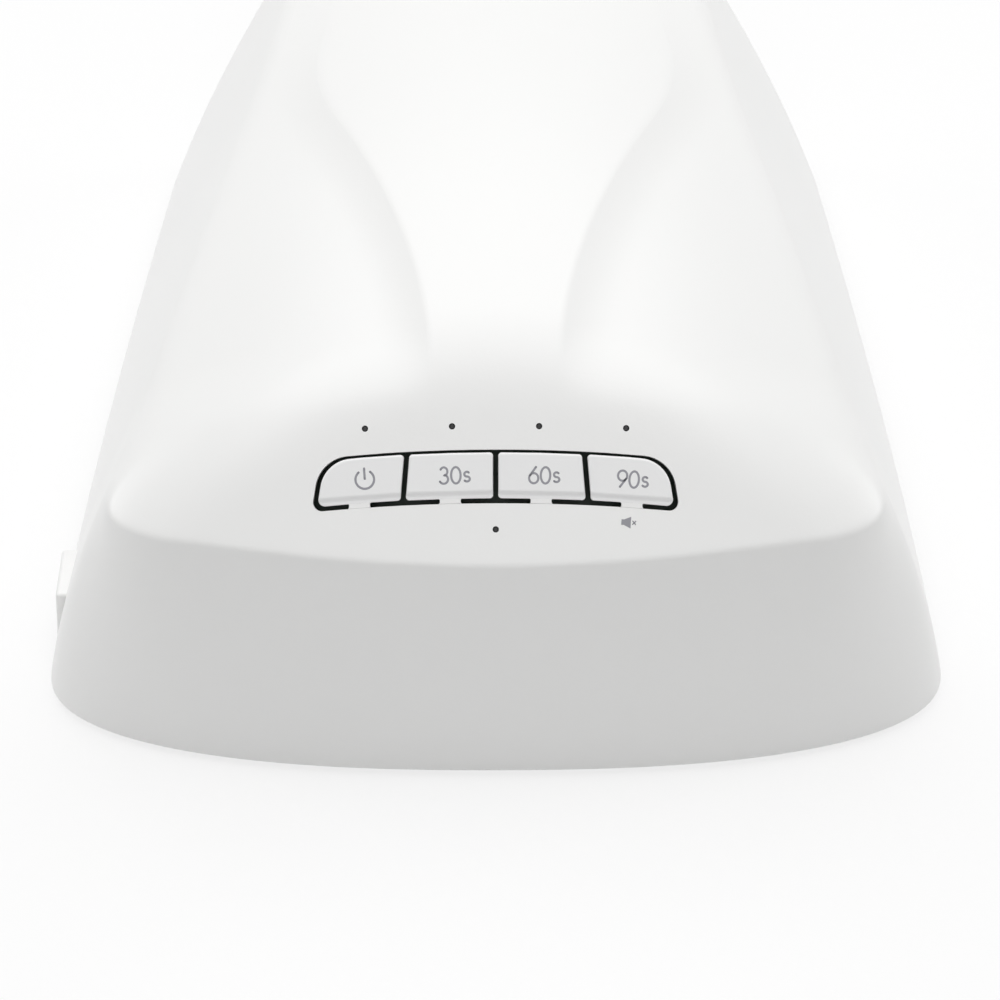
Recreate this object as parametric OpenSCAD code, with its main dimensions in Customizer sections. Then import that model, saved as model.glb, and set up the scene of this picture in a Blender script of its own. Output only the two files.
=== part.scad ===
// Salon nail lamp: a moulded shell over a mirror-lined hand chamber, with four sprung keys on its sloped front,
// LED boards round the chamber and a slide-out floor tray. The keys face -Y, the hand opening faces +Y.
// Millimetres. The origin is on the table, at the middle of the body's plan.

/* [Body] */
// Greatest width of the shell at its lower rim
body_w = 220; // [208:1:232]
// Depth of the shell from the key side to the hand side
body_d = 220; // [210:1:232]
// Height of the crown above the table
body_h = 105.5; // [100:0.5:112]
// Width of the lower rim at the hand side
back_w = 186; // [178:1:194]
// Depth of the bowed front of the lower rim
front_arc = 30; // [24:1:36]
// Radius of the rear corners of the lower rim
back_corner = 14; // [10:1:18]
// Wall thickness of the shell
wall = 2.4; // [1.8:0.1:3]

/* [Front and crown] */
// Height of the front wall from the lower rim to the crease
crease_h = 68.2; // [62:0.2:74]
// How far the front wall leans in up to the crease
front_inset = 8.5; // [6:0.5:11]
// How far the rear wall leans in up to the crown
back_inset = 5; // [3:0.5:8]
// Angle of the key slope above the table
slope_angle = 38; // [34:1:41]
// Width between the shoulders at the crease
shoulder_w = 176; // [166:1:184]
// Width between the shoulders at the hand side
shoulder_back_w = 100; // [92:1:108]
// How much each shoulder draws in per millimetre of depth
shoulder_taper = 0.235; // [0.2:0.005:0.27]
// Width of the raised spine at its front end
spine_w = 28; // [22:1:34]
// How far the side panels lie below the spine
spine_step = 3; // [1.5:0.5:4]

/* [Keys] */
// Distance between the middles of neighbouring keys
key_pitch = 20; // [18.6:0.2:21]
// Distance up the slope from the crease to the gap below the keys
strip_v = 14.6; // [13.5:0.1:16.5]
// Height of the key strip between the middles of its two long gaps
strip_h = 11; // [9.6:0.2:12]
// Width of the open gap beside and below each key
key_gap = 1.1; // [0.8:0.1:1.4]
// Width of the gap along the top of the keys
key_top_gap = 0.8; // [0.6:0.1:1.1]
// How far the keys stand above the slope
key_proud = 0.6; // [0.3:0.1:1]
// Width of the flexing tongue below each key
tongue_w = 4.6; // [3.6:0.2:5.4]
// Thickness of the tongue
tongue_t = 1.4; // [1:0.1:1.8]
// Width of a switch housing
switch_w = 6; // [5:0.2:7]
// Height of a switch housing
switch_h = 3.4; // [2.8:0.2:4]
// Diameter of a switch plunger
plunger_d = 3.4; // [2.6:0.2:4]
// Diameter of an indicator hole
indicator_d = 1.5; // [1.2:0.1:2]

/* [Control board] */
// Depth of the board's upper face below the slope
board_drop = 11; // [10:0.5:13]
// Width of the control board
board_w = 92; // [90:1:100]
// Length of the control board up the slope
board_len = 32; // [31:1:36]
// Thickness of every circuit board
board_t = 1.6; // [1.2:0.1:2]
// Diameter of the sounder
buzzer_d = 9; // [7:0.5:11]

/* [Hand chamber] */
// Width of the chamber at the tray
chamber_w = 152; // [144:1:156]
// Width of the chamber where its flanks meet the roof
chamber_roof_w = 100; // [92:1:104]
// Height of the chamber roof above the table
chamber_h = 64; // [60:1:68]
// Distance from the middle of the body to the deep end of the roof
chamber_depth = 44; // [38:1:50]
// Radius between the chamber's flanks and its roof
chamber_corner = 14; // [8:1:18]
// Wall thickness of the reflector liner
liner_t = 1.6; // [1.2:0.1:2]
// Diameter of an LED lens
lens_d = 5.4; // [4.6:0.2:6.2]
// Gap between the back of the liner and each LED board
board_lift = 1.2; // [0.8:0.1:1.6]

/* [Base and tray] */
// Height of the rubber feet
foot_h = 2; // [1.5:0.5:3]
// Diameter of the rubber feet
foot_d = 9; // [7:0.5:10]
// Thickness of the base frame
frame_t = 4.4; // [4:0.2:5]
// Width of the tray
tray_w = 164; // [160:1:168]
// Thickness of the tray
tray_t = 1.8; // [1.4:0.1:2]
// Distance from the middle of the body to the deep edge of the tray
tray_depth = 58; // [52:1:64]
// Width of the ledge that carries each side of the tray
ledge_w = 3.2; // [2.4:0.2:4]
// Height of the tray's front lip above its plate
lip_h = 4; // [2.5:0.5:5]
// Diameter of a case screw boss
boss_d = 7; // [6.4:0.2:7.6]
// Diameter of the case screws
screw_d = 3; // [2.6:0.2:3.2]

/* [Power inlet] */
// Length of the inlet housing along the wall
inlet_len = 14.4; // [13:0.2:16]
// Height of the inlet housing above the lower rim
inlet_h = 20; // [18:0.5:23]
// Distance from the front of the body to the middle of the inlet housing
inlet_y = 45.4; // [42:0.2:50]
// Height of the jack's axis above the lower rim
jack_h = 11; // [10:0.5:12.5]
// Bore of the jack barrel
jack_bore = 6.4; // [5.6:0.1:6.8]
// Depth of the jack barrel
jack_depth = 9.5; // [8:0.5:11]

/* [Hidden] */
$fn = 48;

// Clearances
fit = 0.3;
pin_fit = 0.05;
slide_fit = 0.2;

// Plan of the lower rim
y_front = -body_d / 2;
y_back = body_d / 2;
y_turn = y_front + front_arc;
bow_power = 2.4;
flare_power = 1.4;
function side_x(y) = body_w / 2
    - (body_w - back_w) / 2 * pow(max(0, (y - y_turn) / (y_back - y_turn)), flare_power);
function bow_x(y) = body_w / 2 * pow(max(0, 1 - pow((y_turn - y) / front_arc, bow_power)), 1 / bow_power);
function bow_y(x) = y_turn - front_arc * pow(max(0, 1 - pow(abs(x) / (body_w / 2), bow_power)), 1 / bow_power);
corner_y = y_back - back_corner;
function turn_in(y) = back_corner - sqrt(max(0, back_corner * back_corner - pow(max(0, y - corner_y), 2)));
function rim_x(y) = y < y_turn ? bow_x(y) : side_x(y) - turn_in(y);
corner_x = side_x(y_back) - back_corner;
function rim_back_y(x) = corner_y + sqrt(back_corner * back_corner - pow(max(0, abs(x) - corner_x), 2));

// Heights of the crown, the key slope and the spine
rim_z = foot_h;
crease_y = y_front + front_inset;
crease_z = rim_z + crease_h;
crown_y = 20;
crown_x_bend = 320;
crown_y_bend = 1250;
crown_blend = 8;
slope_flat = 42;
slope_curl = 0.0022;
crease_power = 2.58;
crease_rise = 10;
corner_rise = 1;
corner_share = 0.12;
corner_flare = 1;
flare_len = 16;
side_y0 = crease_y + crease_rise + corner_rise;
spine_front_y = crease_y + 35.5;
spine_flare = 0.0146;
spine_flare_power = 1.7;
step_w = 12;
spine_margin = 16;
function ease(t) = t <= 0 ? 0 : t >= 1 ? 1 : t * t * (3 - 2 * t);
function soft_min(a, b, k) = min(a, b) - pow(max(k - abs(a - b), 0) / k, 2) * k / 4;
function shoulder_x(y) = -soft_min(-shoulder_back_w / 2,
    -(shoulder_w / 2 - shoulder_taper * (y - crease_y - crease_rise)), step_w)
    + corner_flare * (1 - ease((y - side_y0) / flare_len));
function spine_x(y) = min(spine_w / 2 + spine_flare * pow(max(0, y - spine_front_y), spine_flare_power),
    shoulder_x(y) - spine_margin);
function slope_z(x, y) = crease_z + tan(slope_angle) * (y - crease_y)
    - slope_curl * pow(max(0, abs(x) - slope_flat), 2);
function crown_z(x, y) = body_h - x * x / crown_x_bend - pow(y - crown_y, 2) / crown_y_bend;
function panel_drop(x, y) = spine_step * ease((abs(x) - spine_x(y)) / step_w)
    * ease((y - spine_front_y) / 22) * (1 - ease((y - crown_y) / 50));
function top_z(x, y) = soft_min(slope_z(x, y), crown_z(x, y), crown_blend) - panel_drop(x, y);

// Grid of the top: rows run from the crease to the rear edge, columns from the left shoulder to the right one
rows = 28;
spine_cols = 3;
step_cols = 3;
panel_cols = 5;
half_cols = spine_cols + step_cols + panel_cols;
cols = 2 * half_cols;
back_edge_y = y_back - back_inset;
edge_round = 3.5;
function row_at(j) = (j / rows + (1 - cos(180 * j / rows)) / 2) / 2;
function row_mid_y(r) = crease_y + (back_edge_y - crease_y) * r;
function row_side_y(r) = side_y0 + (back_edge_y - edge_round - side_y0) * r;
function row_power(r) = crease_power + 8 * r;
function col_x(i, s, e) = i <= spine_cols ? s * i / spine_cols
    : i <= spine_cols + step_cols ? s + step_w * pow((i - spine_cols) / step_cols, 1.2)
    : s + step_w + (e - s - step_w) * (i - spine_cols - step_cols) / panel_cols;
function top_point(j, i) = let(
    r = row_at(j),
    ys = row_side_y(r),
    e = shoulder_x(ys),
    side = i < half_cols ? -1 : 1,
    x = col_x(abs(i - half_cols), spine_x(ys), e),
    turn = corner_rise * (1 - ease(r / corner_share)),
    y = row_mid_y(r) + (ys - row_mid_y(r) - turn) * pow(x / e, row_power(r))
        + turn * pow(max(0, 1 - (1 - x / e) / corner_share), 2))
    [side * x, y, top_z(x, y)];
top_grid = [for (j = [0 : rows]) [for (i = [0 : cols]) top_point(j, i)]];

// Loop of the top's edge, counter-clockwise from the left end of the crease, and the rim point under each
loop = concat([for (i = [0 : cols - 1]) [0, i]], [for (j = [0 : rows - 1]) [j, cols]],
    [for (i = [cols : -1 : 1]) [rows, i]], [for (j = [rows : -1 : 1]) [j, 0]]);
loops = len(loop);
rim_front_x = 0.838 * body_w / 2;
rim_side_y0 = bow_y(rim_front_x);
rim_side_y1 = corner_y + back_corner * sin(45);
function rim_point(j, i) = let(
    p = top_grid[j][i],
    front = rim_front_x * p[0] / shoulder_x(side_y0),
    q = p[0] / top_grid[rows][cols][0],
    back = rim_x(rim_side_y1) * q,
    side_y = rim_side_y0 + (rim_side_y1 - rim_side_y0) * row_at(j))
    j == 0 ? [front, bow_y(front), rim_z]
    : j == rows ? [back, rim_back_y(back), rim_z]
    : [sign(p[0]) * rim_x(side_y), side_y, rim_z];

// Skirt between the rim and the top's edge, with a small round at the rim and a slight swell
levels = [0, 0.015, 0.35, 0.7];
rim_round = 0.8;
side_swell = 2.5;
front_swell = 0.7;
function wrap(m) = (m + loops) % loops;
function unit(v) = v / norm(v);
function rim_at(m) = rim_point(loop[wrap(m)][0], loop[wrap(m)][1]);
function edge_at(m) = top_grid[loop[wrap(m)][0]][loop[wrap(m)][1]];
function outward(m) = let(t = rim_at(m + 1) - rim_at(m - 1)) unit([t[1], -t[0], 0]);
function swell(m) = front_swell + (side_swell - front_swell) * pow(abs(outward(m)[0]), 2);
function skirt_point(m, k) = let(f = levels[k])
    rim_at(m) * (1 - f) + edge_at(m) * f
    + outward(m) * (swell(m) * 4 * f * (1 - f) - (k == 0 ? rim_round : 0));
skirt = [for (k = [0 : len(levels) - 1]) [for (m = [0 : loops - 1]) skirt_point(m, k)]];

// Inner skin: each point moves in by the wall thickness, square to the skin
function top_normal(j, i) = unit(cross(
    top_grid[j][min(i + 1, cols)] - top_grid[j][max(i - 1, 0)],
    top_grid[min(j + 1, rows)][i] - top_grid[max(j - 1, 0)][i]));
function skirt_up(m, k) = k < len(levels) - 1 ? skirt[k + 1][m] - skirt[k][m] : edge_at(m) - skirt[k][m];
function skirt_normal(m, k) = unit(cross(skirt[k][wrap(m + 1)] - skirt[k][wrap(m - 1)], skirt_up(m, k)));
function edge_index(j, i) = j == 0 ? i : i == cols ? cols + j : j == rows ? 2 * cols + rows - i : loops - j;
function is_edge(j, i) = j == 0 || j == rows || i == 0 || i == cols;
function mitre(a, b) = (a + b) / (1 + a * b);
function inner_top(j, i) = top_grid[j][i] - wall * (is_edge(j, i)
    ? mitre(top_normal(j, i), skirt_normal(edge_index(j, i), len(levels) - 1)) : top_normal(j, i));
function inner_skirt(m, k) = let(p = skirt[k][m] - wall * skirt_normal(m, max(k, 1)))
    k == 0 ? [p[0], p[1], rim_z] : p;

// Numbering of the four groups of points, and their triangles
top_count = (rows + 1) * (cols + 1);
skirt_count = len(levels) * loops;
inner_start = top_count + skirt_count;
function top_id(j, i) = j * (cols + 1) + i;
function wall_id(m, k) = k == len(levels) ? top_id(loop[wrap(m)][0], loop[wrap(m)][1])
    : top_count + k * loops + wrap(m);
top_faces = [for (j = [0 : rows - 1]) for (i = [0 : cols - 1]) let(
    a = top_id(j, i), b = top_id(j, i + 1), c = top_id(j + 1, i + 1), d = top_id(j + 1, i))
    each [[a, d, c], [a, c, b]]];
skirt_faces = [for (k = [0 : len(levels) - 1]) for (m = [0 : loops - 1]) let(
    a = wall_id(m, k), b = wall_id(m, k + 1), c = wall_id(m + 1, k + 1), d = wall_id(m + 1, k))
    each [[a, b, c], [a, c, d]]];
outer_faces = concat(top_faces, skirt_faces);
inner_faces = [for (f = outer_faces) [f[0] + inner_start, f[2] + inner_start, f[1] + inner_start]];
rim_faces = [for (m = [0 : loops - 1]) let(
    a = wall_id(m, 0), b = wall_id(m + 1, 0), c = b + inner_start, d = a + inner_start)
    each [[a, b, c], [a, c, d]]];
skin_points = concat(
    [for (r = top_grid) each r],
    [for (r = skirt) each r],
    [for (j = [0 : rows]) for (i = [0 : cols]) inner_top(j, i)],
    [for (k = [0 : len(levels) - 1]) for (m = [0 : loops - 1]) inner_skirt(m, k)]);

// Outline with rounded corners: points, and a radius for each, in order round the shape
function arc_points(p, a, b, r) = let(
    u = unit(a - p),
    v = unit(b - p),
    half = acos(min(1, max(-1, u * v))) / 2,
    reach = r / tan(half),
    c = p + unit(u + v) * r / sin(half),
    from = p + u * reach - c,
    turn = u[0] * v[1] - u[1] * v[0] > 0 ? -1 : 1,
    sweep = turn * (180 - 2 * half),
    n = max(1, ceil(abs(sweep) / 15)))
    [for (k = [0 : n]) let(t = sweep * k / n) c + [from[0] * cos(t) - from[1] * sin(t),
        from[0] * sin(t) + from[1] * cos(t)]];
function rounded(pts, radii) = [for (k = [0 : len(pts) - 1]) let(n = len(pts))
    each (radii[k] <= 0 ? [pts[k]]
        : arc_points(pts[k], pts[(k + n - 1) % n], pts[(k + 1) % n], radii[k]))];

// Key strip, drawn on the slope: u runs to the right, v up the slope from the crease, w out of it
keys = 4;
strip_bow = 421;
lean = 0.0041;
end_trim = 0.9;
end_corner = 9.5;
foot_corner = 2;
pad_corner = 0.8;
strip_mid = strip_v + strip_h / 2;
function strip_u(k, v) = let(d = k - keys / 2)
    (d * key_pitch - sign(d) * end_trim * max(0, abs(d) - 1)) * (1 - lean * (v - strip_mid));
function bow_v(u) = -u * u / (2 * strip_bow);
function strip_corner(k, v) = [strip_u(k, v), v + bow_v((k - keys / 2) * key_pitch)];
function strip_row(v, from, to) = [for (k = [from : (to > from ? 1 : -1) / 2 : to]) strip_corner(k, v)];
window_points = let(
    low = strip_v - key_gap / 2,
    high = strip_v + strip_h + key_top_gap / 2,
    wide = [key_gap / 2, 0],
    a = strip_row(low, 0, keys),
    b = strip_row(high, keys, 0),
    last = len(a) - 1,
    pts = concat([a[0] - wide], [for (k = [1 : last - 1]) a[k]], [a[last] + wide, b[0] + wide],
        [for (k = [1 : last - 1]) b[k]], [b[last] - wide]))
    rounded(pts, [for (k = [0 : len(pts) - 1]) k == 0 || k == last ? foot_corner
        : k == last + 1 || k == len(pts) - 1 ? end_corner : 0]);
function pad_points(k) = let(
    low = strip_v + key_gap / 2,
    high = strip_v + strip_h - key_top_gap / 2,
    g = key_gap / 2,
    a = strip_corner(k, low) + [g, 0],
    b = strip_corner(k + 0.5, low),
    c = strip_corner(k + 1, low) - [g, 0],
    d = strip_corner(k + 1, high) - [g, 0],
    e = strip_corner(k + 0.5, high),
    f = strip_corner(k, high) + [g, 0],
    foot_r = foot_corner - g,
    end_r = end_corner - g)
    rounded([a, b, c, d, e, f],
        [k == 0 ? foot_r : pad_corner, 0, k == keys - 1 ? foot_r : pad_corner,
         k == keys - 1 ? end_r : pad_corner, 0, k == 0 ? end_r : pad_corner]);
function key_u(k) = (k + 0.5 - keys / 2) * key_pitch;
function hinge_v(k) = strip_v - key_gap / 2 + bow_v(key_u(k));
hinge_w = -tongue_t / 2;
stem_v = strip_v + strip_h * 0.6;
stem_d = 3;
stem_gap = 0.15;
switch_top_w = -board_drop + switch_h;
plunger_top_w = -wall - 3;
plunger_foot_w = switch_top_w - 1.2;
switch_travel = 0.3;
indicator_v = strip_v + 16.5;
status_v = strip_v - 6.3;
indicator_pitch = 19.2;
module on_slope() {
    translate([0, crease_y, crease_z])
        rotate([slope_angle, 0, 0])
            children();
}
module indicator_places() {
    for (k = [0 : keys - 1])
        translate([(k + 0.5 - keys / 2) * indicator_pitch, indicator_v + bow_v(key_u(k)) / 2, 0])
            children();
    translate([0, status_v, 0])
        children();
}

// Control board
board_v0 = 3;
pillar_d = 4.8;
pillar_u = board_w / 2 - 4;
pillar_low_v = board_v0 + 3.5;
pillar_high_v = board_v0 + board_len - 3.5;
board_screw_d = 2;
module pillar_places() {
    for (u = [-pillar_u, pillar_u])
        for (v = [pillar_low_v, pillar_high_v])
            translate([u, v, 0])
                children();
}

// Base frame and tray heights
frame_z = rim_z;
frame_top = frame_z + frame_t;
tray_z = frame_z + (frame_t - tray_t) / 2;
groove_z = tray_z - slide_fit;
groove_top = tray_z + tray_t + slide_fit;
tray_front = y_back - 4.5;
window_w = tray_w - 2 * ledge_w;

// Chamber section, seen along Y, and its outline seen along X
liner_z = frame_top;
liner_front = y_back - wall - back_inset - fit;
chamber_end_h = 30;
chamber_end_run = 28;
function arch_points(grow) = let(
    a = chamber_w / 2 + grow,
    b = chamber_roof_w / 2 + grow,
    top = chamber_h + grow)
    rounded([[-a, liner_z - 1], [a, liner_z - 1], [b, top], [-b, top]],
        [0, 0, chamber_corner + grow, chamber_corner + grow]);
function profile_points(grow, front) = [
    [front, liner_z - 1],
    [-chamber_depth - chamber_end_run - grow, liner_z - 1],
    [-chamber_depth - chamber_end_run - grow, chamber_end_h + grow / 2],
    [-chamber_depth - grow / 2, chamber_h + grow],
    [front, chamber_h + grow]];
module chamber(grow, front) {
    intersection() {
        translate([0, front, 0])
            rotate([90, 0, 0])
                linear_extrude(height = front + body_d / 2)
                    polygon(arch_points(grow));
        translate([-body_w / 2, 0, 0])
            rotate([90, 0, 90])
                linear_extrude(height = body_w)
                    polygon(profile_points(grow, front));
    }
}

// LED places on the roof, the flanks and the sloped end of the chamber
flank_dx = (chamber_w - chamber_roof_w) / 2;
flank_dz = chamber_h - liner_z + 1;
flank_angle = atan(flank_dx / flank_dz);
flank_len = sqrt(flank_dx * flank_dx + flank_dz * flank_dz);
end_dz = chamber_h - chamber_end_h;
end_angle = atan(end_dz / chamber_end_run);
end_len = sqrt(end_dz * end_dz + chamber_end_run * chamber_end_run);
hole_d = lens_d + 2 * slide_fit;
led_back = liner_t + board_lift;
roof_x = [-30, -10, 10, 30];
roof_y = [-28, 2, 32, 62];
flank_y = [-30, 2, 34, 66];
flank_up = [0.3, 0.62];
end_x = [-32, -11, 11, 32];
module roof_places() {
    for (x = roof_x)
        for (y = roof_y)
            translate([x, y, chamber_h])
                children();
}
// Local Z points out of the chamber, local Y runs along the body and local X down the flank
module on_flank(side) {
    mirror([side < 0 ? 1 : 0, 0, 0])
        translate([chamber_roof_w / 2, 0, chamber_h])
            rotate([0, 90 - flank_angle, 0])
                children();
}
module flank_places(side) {
    on_flank(side)
        for (f = flank_up)
            for (y = flank_y)
                translate([flank_len * (1 - f), y, 0])
                    children();
}
// Local Z points out of the chamber, local X to the right and local Y up the sloped end
module on_end() {
    translate([0, -chamber_depth - chamber_end_run / 2, (chamber_end_h + chamber_h) / 2])
        rotate([end_angle, 0, 0])
            children();
}
module end_places() {
    on_end()
        for (x = end_x)
            translate([x, 0, 0])
                children();
}

// Case bosses along the side walls and behind the front wall
boss_h = 10;
boss_reach = 11.2;
rib_t = 2;
inlet_mid_y = y_front + inlet_y;
inlet_clear = 5.9;
side_boss_y = [inlet_mid_y + inlet_len / 2 + boss_d / 2 + inlet_clear, 12, y_back - 44];
front_boss_x = 42;
front_boss_reach = 10.5;
foot_back_y = y_back - 18;
foot_front_x = 70;
foot_front_y = y_front + 22;
frame_inset = 4.9;
head_h = 1.8;
function wall_x(y, z) = let(
    e = shoulder_x(y),
    f = (z - rim_z) / (top_z(e, y) - rim_z))
    rim_x(y) * (1 - f) + e * f + side_swell * 4 * f * (1 - f);
module boss_places() {
    for (side = [-1, 1]) {
        for (y = side_boss_y)
            translate([side * (rim_x(y) - boss_reach), y, 0])
                children();
        translate([side * front_boss_x, bow_y(front_boss_x) + front_boss_reach, 0])
            children();
    }
}
module side_rib(side, y) {
    z1 = frame_top + boss_h;
    x0 = rim_x(y) - boss_reach;
    mirror([side < 0 ? 1 : 0, 0, 0])
        translate([0, y + rib_t / 2, 0])
            rotate([90, 0, 0])
                linear_extrude(height = rib_t)
                    polygon([[x0, frame_top], [wall_x(y, frame_top) - wall / 2, frame_top],
                        [wall_x(y, z1) - wall / 2, z1], [x0, z1]]);
}
module front_rib(side) {
    y0 = bow_y(front_boss_x) + front_boss_reach;
    z1 = frame_top + boss_h;
    lean_y = front_inset / crease_h;
    translate([side * front_boss_x - rib_t / 2, 0, 0])
        rotate([90, 0, 90])
            linear_extrude(height = rib_t)
                polygon([[y0, frame_top],
                    [bow_y(front_boss_x) + wall / 2 + lean_y * (frame_top - rim_z), frame_top],
                    [bow_y(front_boss_x) + wall / 2 + lean_y * (z1 - rim_z), z1], [y0, z1]]);
}
module case_bosses() {
    boss_places()
        translate([0, 0, frame_top])
            cylinder(d = boss_d, h = boss_h);
    for (side = [-1, 1]) {
        for (y = side_boss_y)
            side_rib(side, y);
        front_rib(side);
    }
}

// Power inlet housing on the left wall: its face meets the lower rim and leans in with the wall's draft
inlet_low_x = -rim_x(inlet_mid_y);
inlet_draft = 2.3;
inlet_face_x = inlet_low_x + inlet_draft * jack_h / inlet_h;
inlet_back_x = inlet_low_x + 10;
jack_z = rim_z + jack_h;
jack_wall = 0.8;
barrel_d = jack_bore + 2 * jack_wall;
jack_body = [13, 9.6, 11];
jack_recess = 1;
jack_pin_d = 2;
module inlet_axis(x) {
    translate([x, inlet_mid_y, jack_z])
        rotate([0, 90, 0])
            children();
}

// Shell of one wall thickness with the key window, the indicator holes, the hinge seats and the hand opening
module top_shell() {
    color("#f6f6f5")
        difference() {
            union() {
                polyhedron(points = skin_points, faces = concat(outer_faces, inner_faces, rim_faces));
                case_bosses();
                on_slope()
                    pillar_places()
                        translate([0, 0, -board_drop])
                            cylinder(d = pillar_d, h = board_drop - wall * 0.8);
                translate([0, inlet_mid_y + inlet_len / 2, rim_z])
                    rotate([90, 0, 0])
                        linear_extrude(height = inlet_len)
                            polygon([[inlet_low_x, 0], [inlet_back_x, 0], [inlet_back_x, inlet_h],
                                [inlet_low_x + inlet_draft, inlet_h]]);
            }
            on_slope() {
                translate([0, 0, -wall * 2])
                    linear_extrude(height = wall * 3)
                        polygon(window_points);
                for (k = [0 : keys - 1])
                    translate([key_u(k), hinge_v(k), hinge_w])
                        rotate([0, 90, 0])
                            cylinder(d = tongue_t + 2 * pin_fit, h = tongue_w + fit, center = true);
                indicator_places()
                    translate([0, 0, -wall * 2])
                        cylinder(d = indicator_d, h = wall * 3);
                pillar_places()
                    translate([0, 0, -board_drop - 1])
                        cylinder(d = board_screw_d + 2 * pin_fit, h = 7);
            }
            translate([0, y_back + 10, 0])
                rotate([90, 0, 0])
                    linear_extrude(height = 10 + y_back - liner_front)
                        polygon(arch_points(-1.2));
            translate([-tray_w / 2 - fit, liner_front, 0])
                cube([tray_w + 2 * fit, y_back, groove_top]);
            boss_places()
                translate([0, 0, frame_top - 1])
                    cylinder(d = screw_d + 2 * pin_fit, h = boss_h - 2);
            inlet_axis(inlet_face_x - 1)
                cylinder(d = barrel_d + 2 * pin_fit, h = inlet_back_x - inlet_face_x + 2);
        }
}

// One key: a raised pad, a thin tongue ending in a half round in the shell's seat, and a stem over its switch
module key(k) {
    tongue_len = key_gap + 1;
    color("#f6f6f5")
        on_slope() {
            translate([0, 0, -wall])
                linear_extrude(height = wall + key_proud)
                    polygon(pad_points(k));
            translate([key_u(k) - tongue_w / 2, hinge_v(k), -tongue_t])
                cube([tongue_w, tongue_len, tongue_t]);
            translate([key_u(k), hinge_v(k), hinge_w])
                rotate([0, 90, 0])
                    cylinder(d = tongue_t, h = tongue_w, center = true);
            translate([key_u(k), stem_v, plunger_top_w + stem_gap])
                cylinder(d = stem_d, h = -wall - plunger_top_w - stem_gap + 0.2);
        }
}
module power_key() {
    key(0);
}
module key_30s() {
    key(1);
}
module key_60s() {
    key(2);
}
module key_90s() {
    key(3);
}

module plunger(k) {
    color("#2b2b2d")
        on_slope()
            translate([key_u(k), stem_v, plunger_foot_w])
                cylinder(d = plunger_d, h = plunger_top_w - plunger_foot_w);
}
module power_plunger() {
    plunger(0);
}
module plunger_30s() {
    plunger(1);
}
module plunger_60s() {
    plunger(2);
}
module plunger_90s() {
    plunger(3);
}

module switch_housings() {
    color("#3a3a3c")
        on_slope()
            for (k = [0 : keys - 1])
                translate([key_u(k), stem_v, -board_drop])
                    difference() {
                        translate([-switch_w / 2, -switch_w / 2, 0])
                            cube([switch_w, switch_w, switch_h]);
                        translate([0, 0, plunger_foot_w + board_drop - switch_travel - fit])
                            cylinder(d = plunger_d + 2 * pin_fit, h = switch_h);
                    }
}

module control_board() {
    color("#2e6b45")
        on_slope()
            difference() {
                translate([-board_w / 2, board_v0, -board_drop - board_t])
                    cube([board_w, board_len, board_t]);
                pillar_places()
                    translate([0, 0, -board_drop - board_t - 1])
                        cylinder(d = board_screw_d + fit, h = board_t + 2);
            }
}

module board_screws() {
    head = 1.3;
    bite = 5;
    color("#b9bbbd")
        on_slope()
            pillar_places() {
                translate([0, 0, -board_drop - board_t - head])
                    cylinder(d = board_screw_d * 1.9, h = head);
                translate([0, 0, -board_drop - board_t])
                    cylinder(d = board_screw_d, h = board_t + bite);
            }
}

led_chip = [2, 1.6, 1.2];
module indicator_leds() {
    color("#e9e6d8")
        on_slope()
            indicator_places()
                translate([-led_chip[0] / 2, -led_chip[1] / 2, -board_drop])
                    cube(led_chip);
}

module light_guides() {
    collar_t = 1;
    recess = 0.4;
    color("#d8dde0")
        on_slope()
            indicator_places() {
                translate([0, 0, led_chip[2] - board_drop]) {
                    cylinder(d = indicator_d - 2 * pin_fit, h = board_drop - led_chip[2] - recess);
                    cylinder(d = indicator_d + 2, h = collar_t);
                }
            }
}

module timer_chip() {
    chip = [10, 8, 1.4];
    color("#232325")
        on_slope()
            translate([-chip[0] / 2, strip_v, -board_drop - board_t - chip[2]])
                cube(chip);
}

module sounder() {
    sounder_h = 4.2;
    color("#1f1f21")
        on_slope()
            translate([key_pitch * 1.2, board_v0 + buzzer_d / 2 + 1, -board_drop])
                difference() {
                    cylinder(d = buzzer_d, h = sounder_h);
                    translate([0, 0, sounder_h - 1])
                        cylinder(d = 1.6, h = 2);
                }
}

// Mirror-finished liner: an arched tunnel with a sloped end, a hole for every lens and a flange on the frame
flange_w = 4.6;
stud_d = 4;
stud_off = [6, 9];
module roof_studs() {
    for (x = [-roof_x[3] - stud_off[0], roof_x[3] + stud_off[0]])
        for (y = [roof_y[0] - stud_off[1], roof_y[3] + stud_off[1]])
            translate([x, y, chamber_h + liner_t - 0.2])
                cylinder(d = stud_d, h = board_lift + 0.2);
}
module flank_studs(side) {
    on_flank(side)
        for (x = [flank_len * (1 - flank_up[1]) - 6, flank_len * (1 - flank_up[0]) + 6])
            for (y = [flank_y[0] - stud_off[1], flank_y[3] + stud_off[1]])
                translate([x, y, liner_t - 0.2])
                    cylinder(d = stud_d, h = board_lift + 0.2);
}
module end_studs() {
    on_end()
        for (x = [-end_x[3] - stud_off[0], end_x[3] + stud_off[0]])
            translate([x, 0, liner_t - 0.2])
                cylinder(d = stud_d, h = board_lift + 0.2);
}
sensor_y = 90;
sensor_pitch = 8;
module sensor_places() {
    for (x = [-sensor_pitch / 2, sensor_pitch / 2])
        translate([x, sensor_y, chamber_h])
            children();
}
liner_screw_x = [-62, -25, 25, 62];
liner_screw_y = -chamber_depth - chamber_end_run - liner_t - flange_w / 2;
liner_screw_d = 2;
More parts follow.
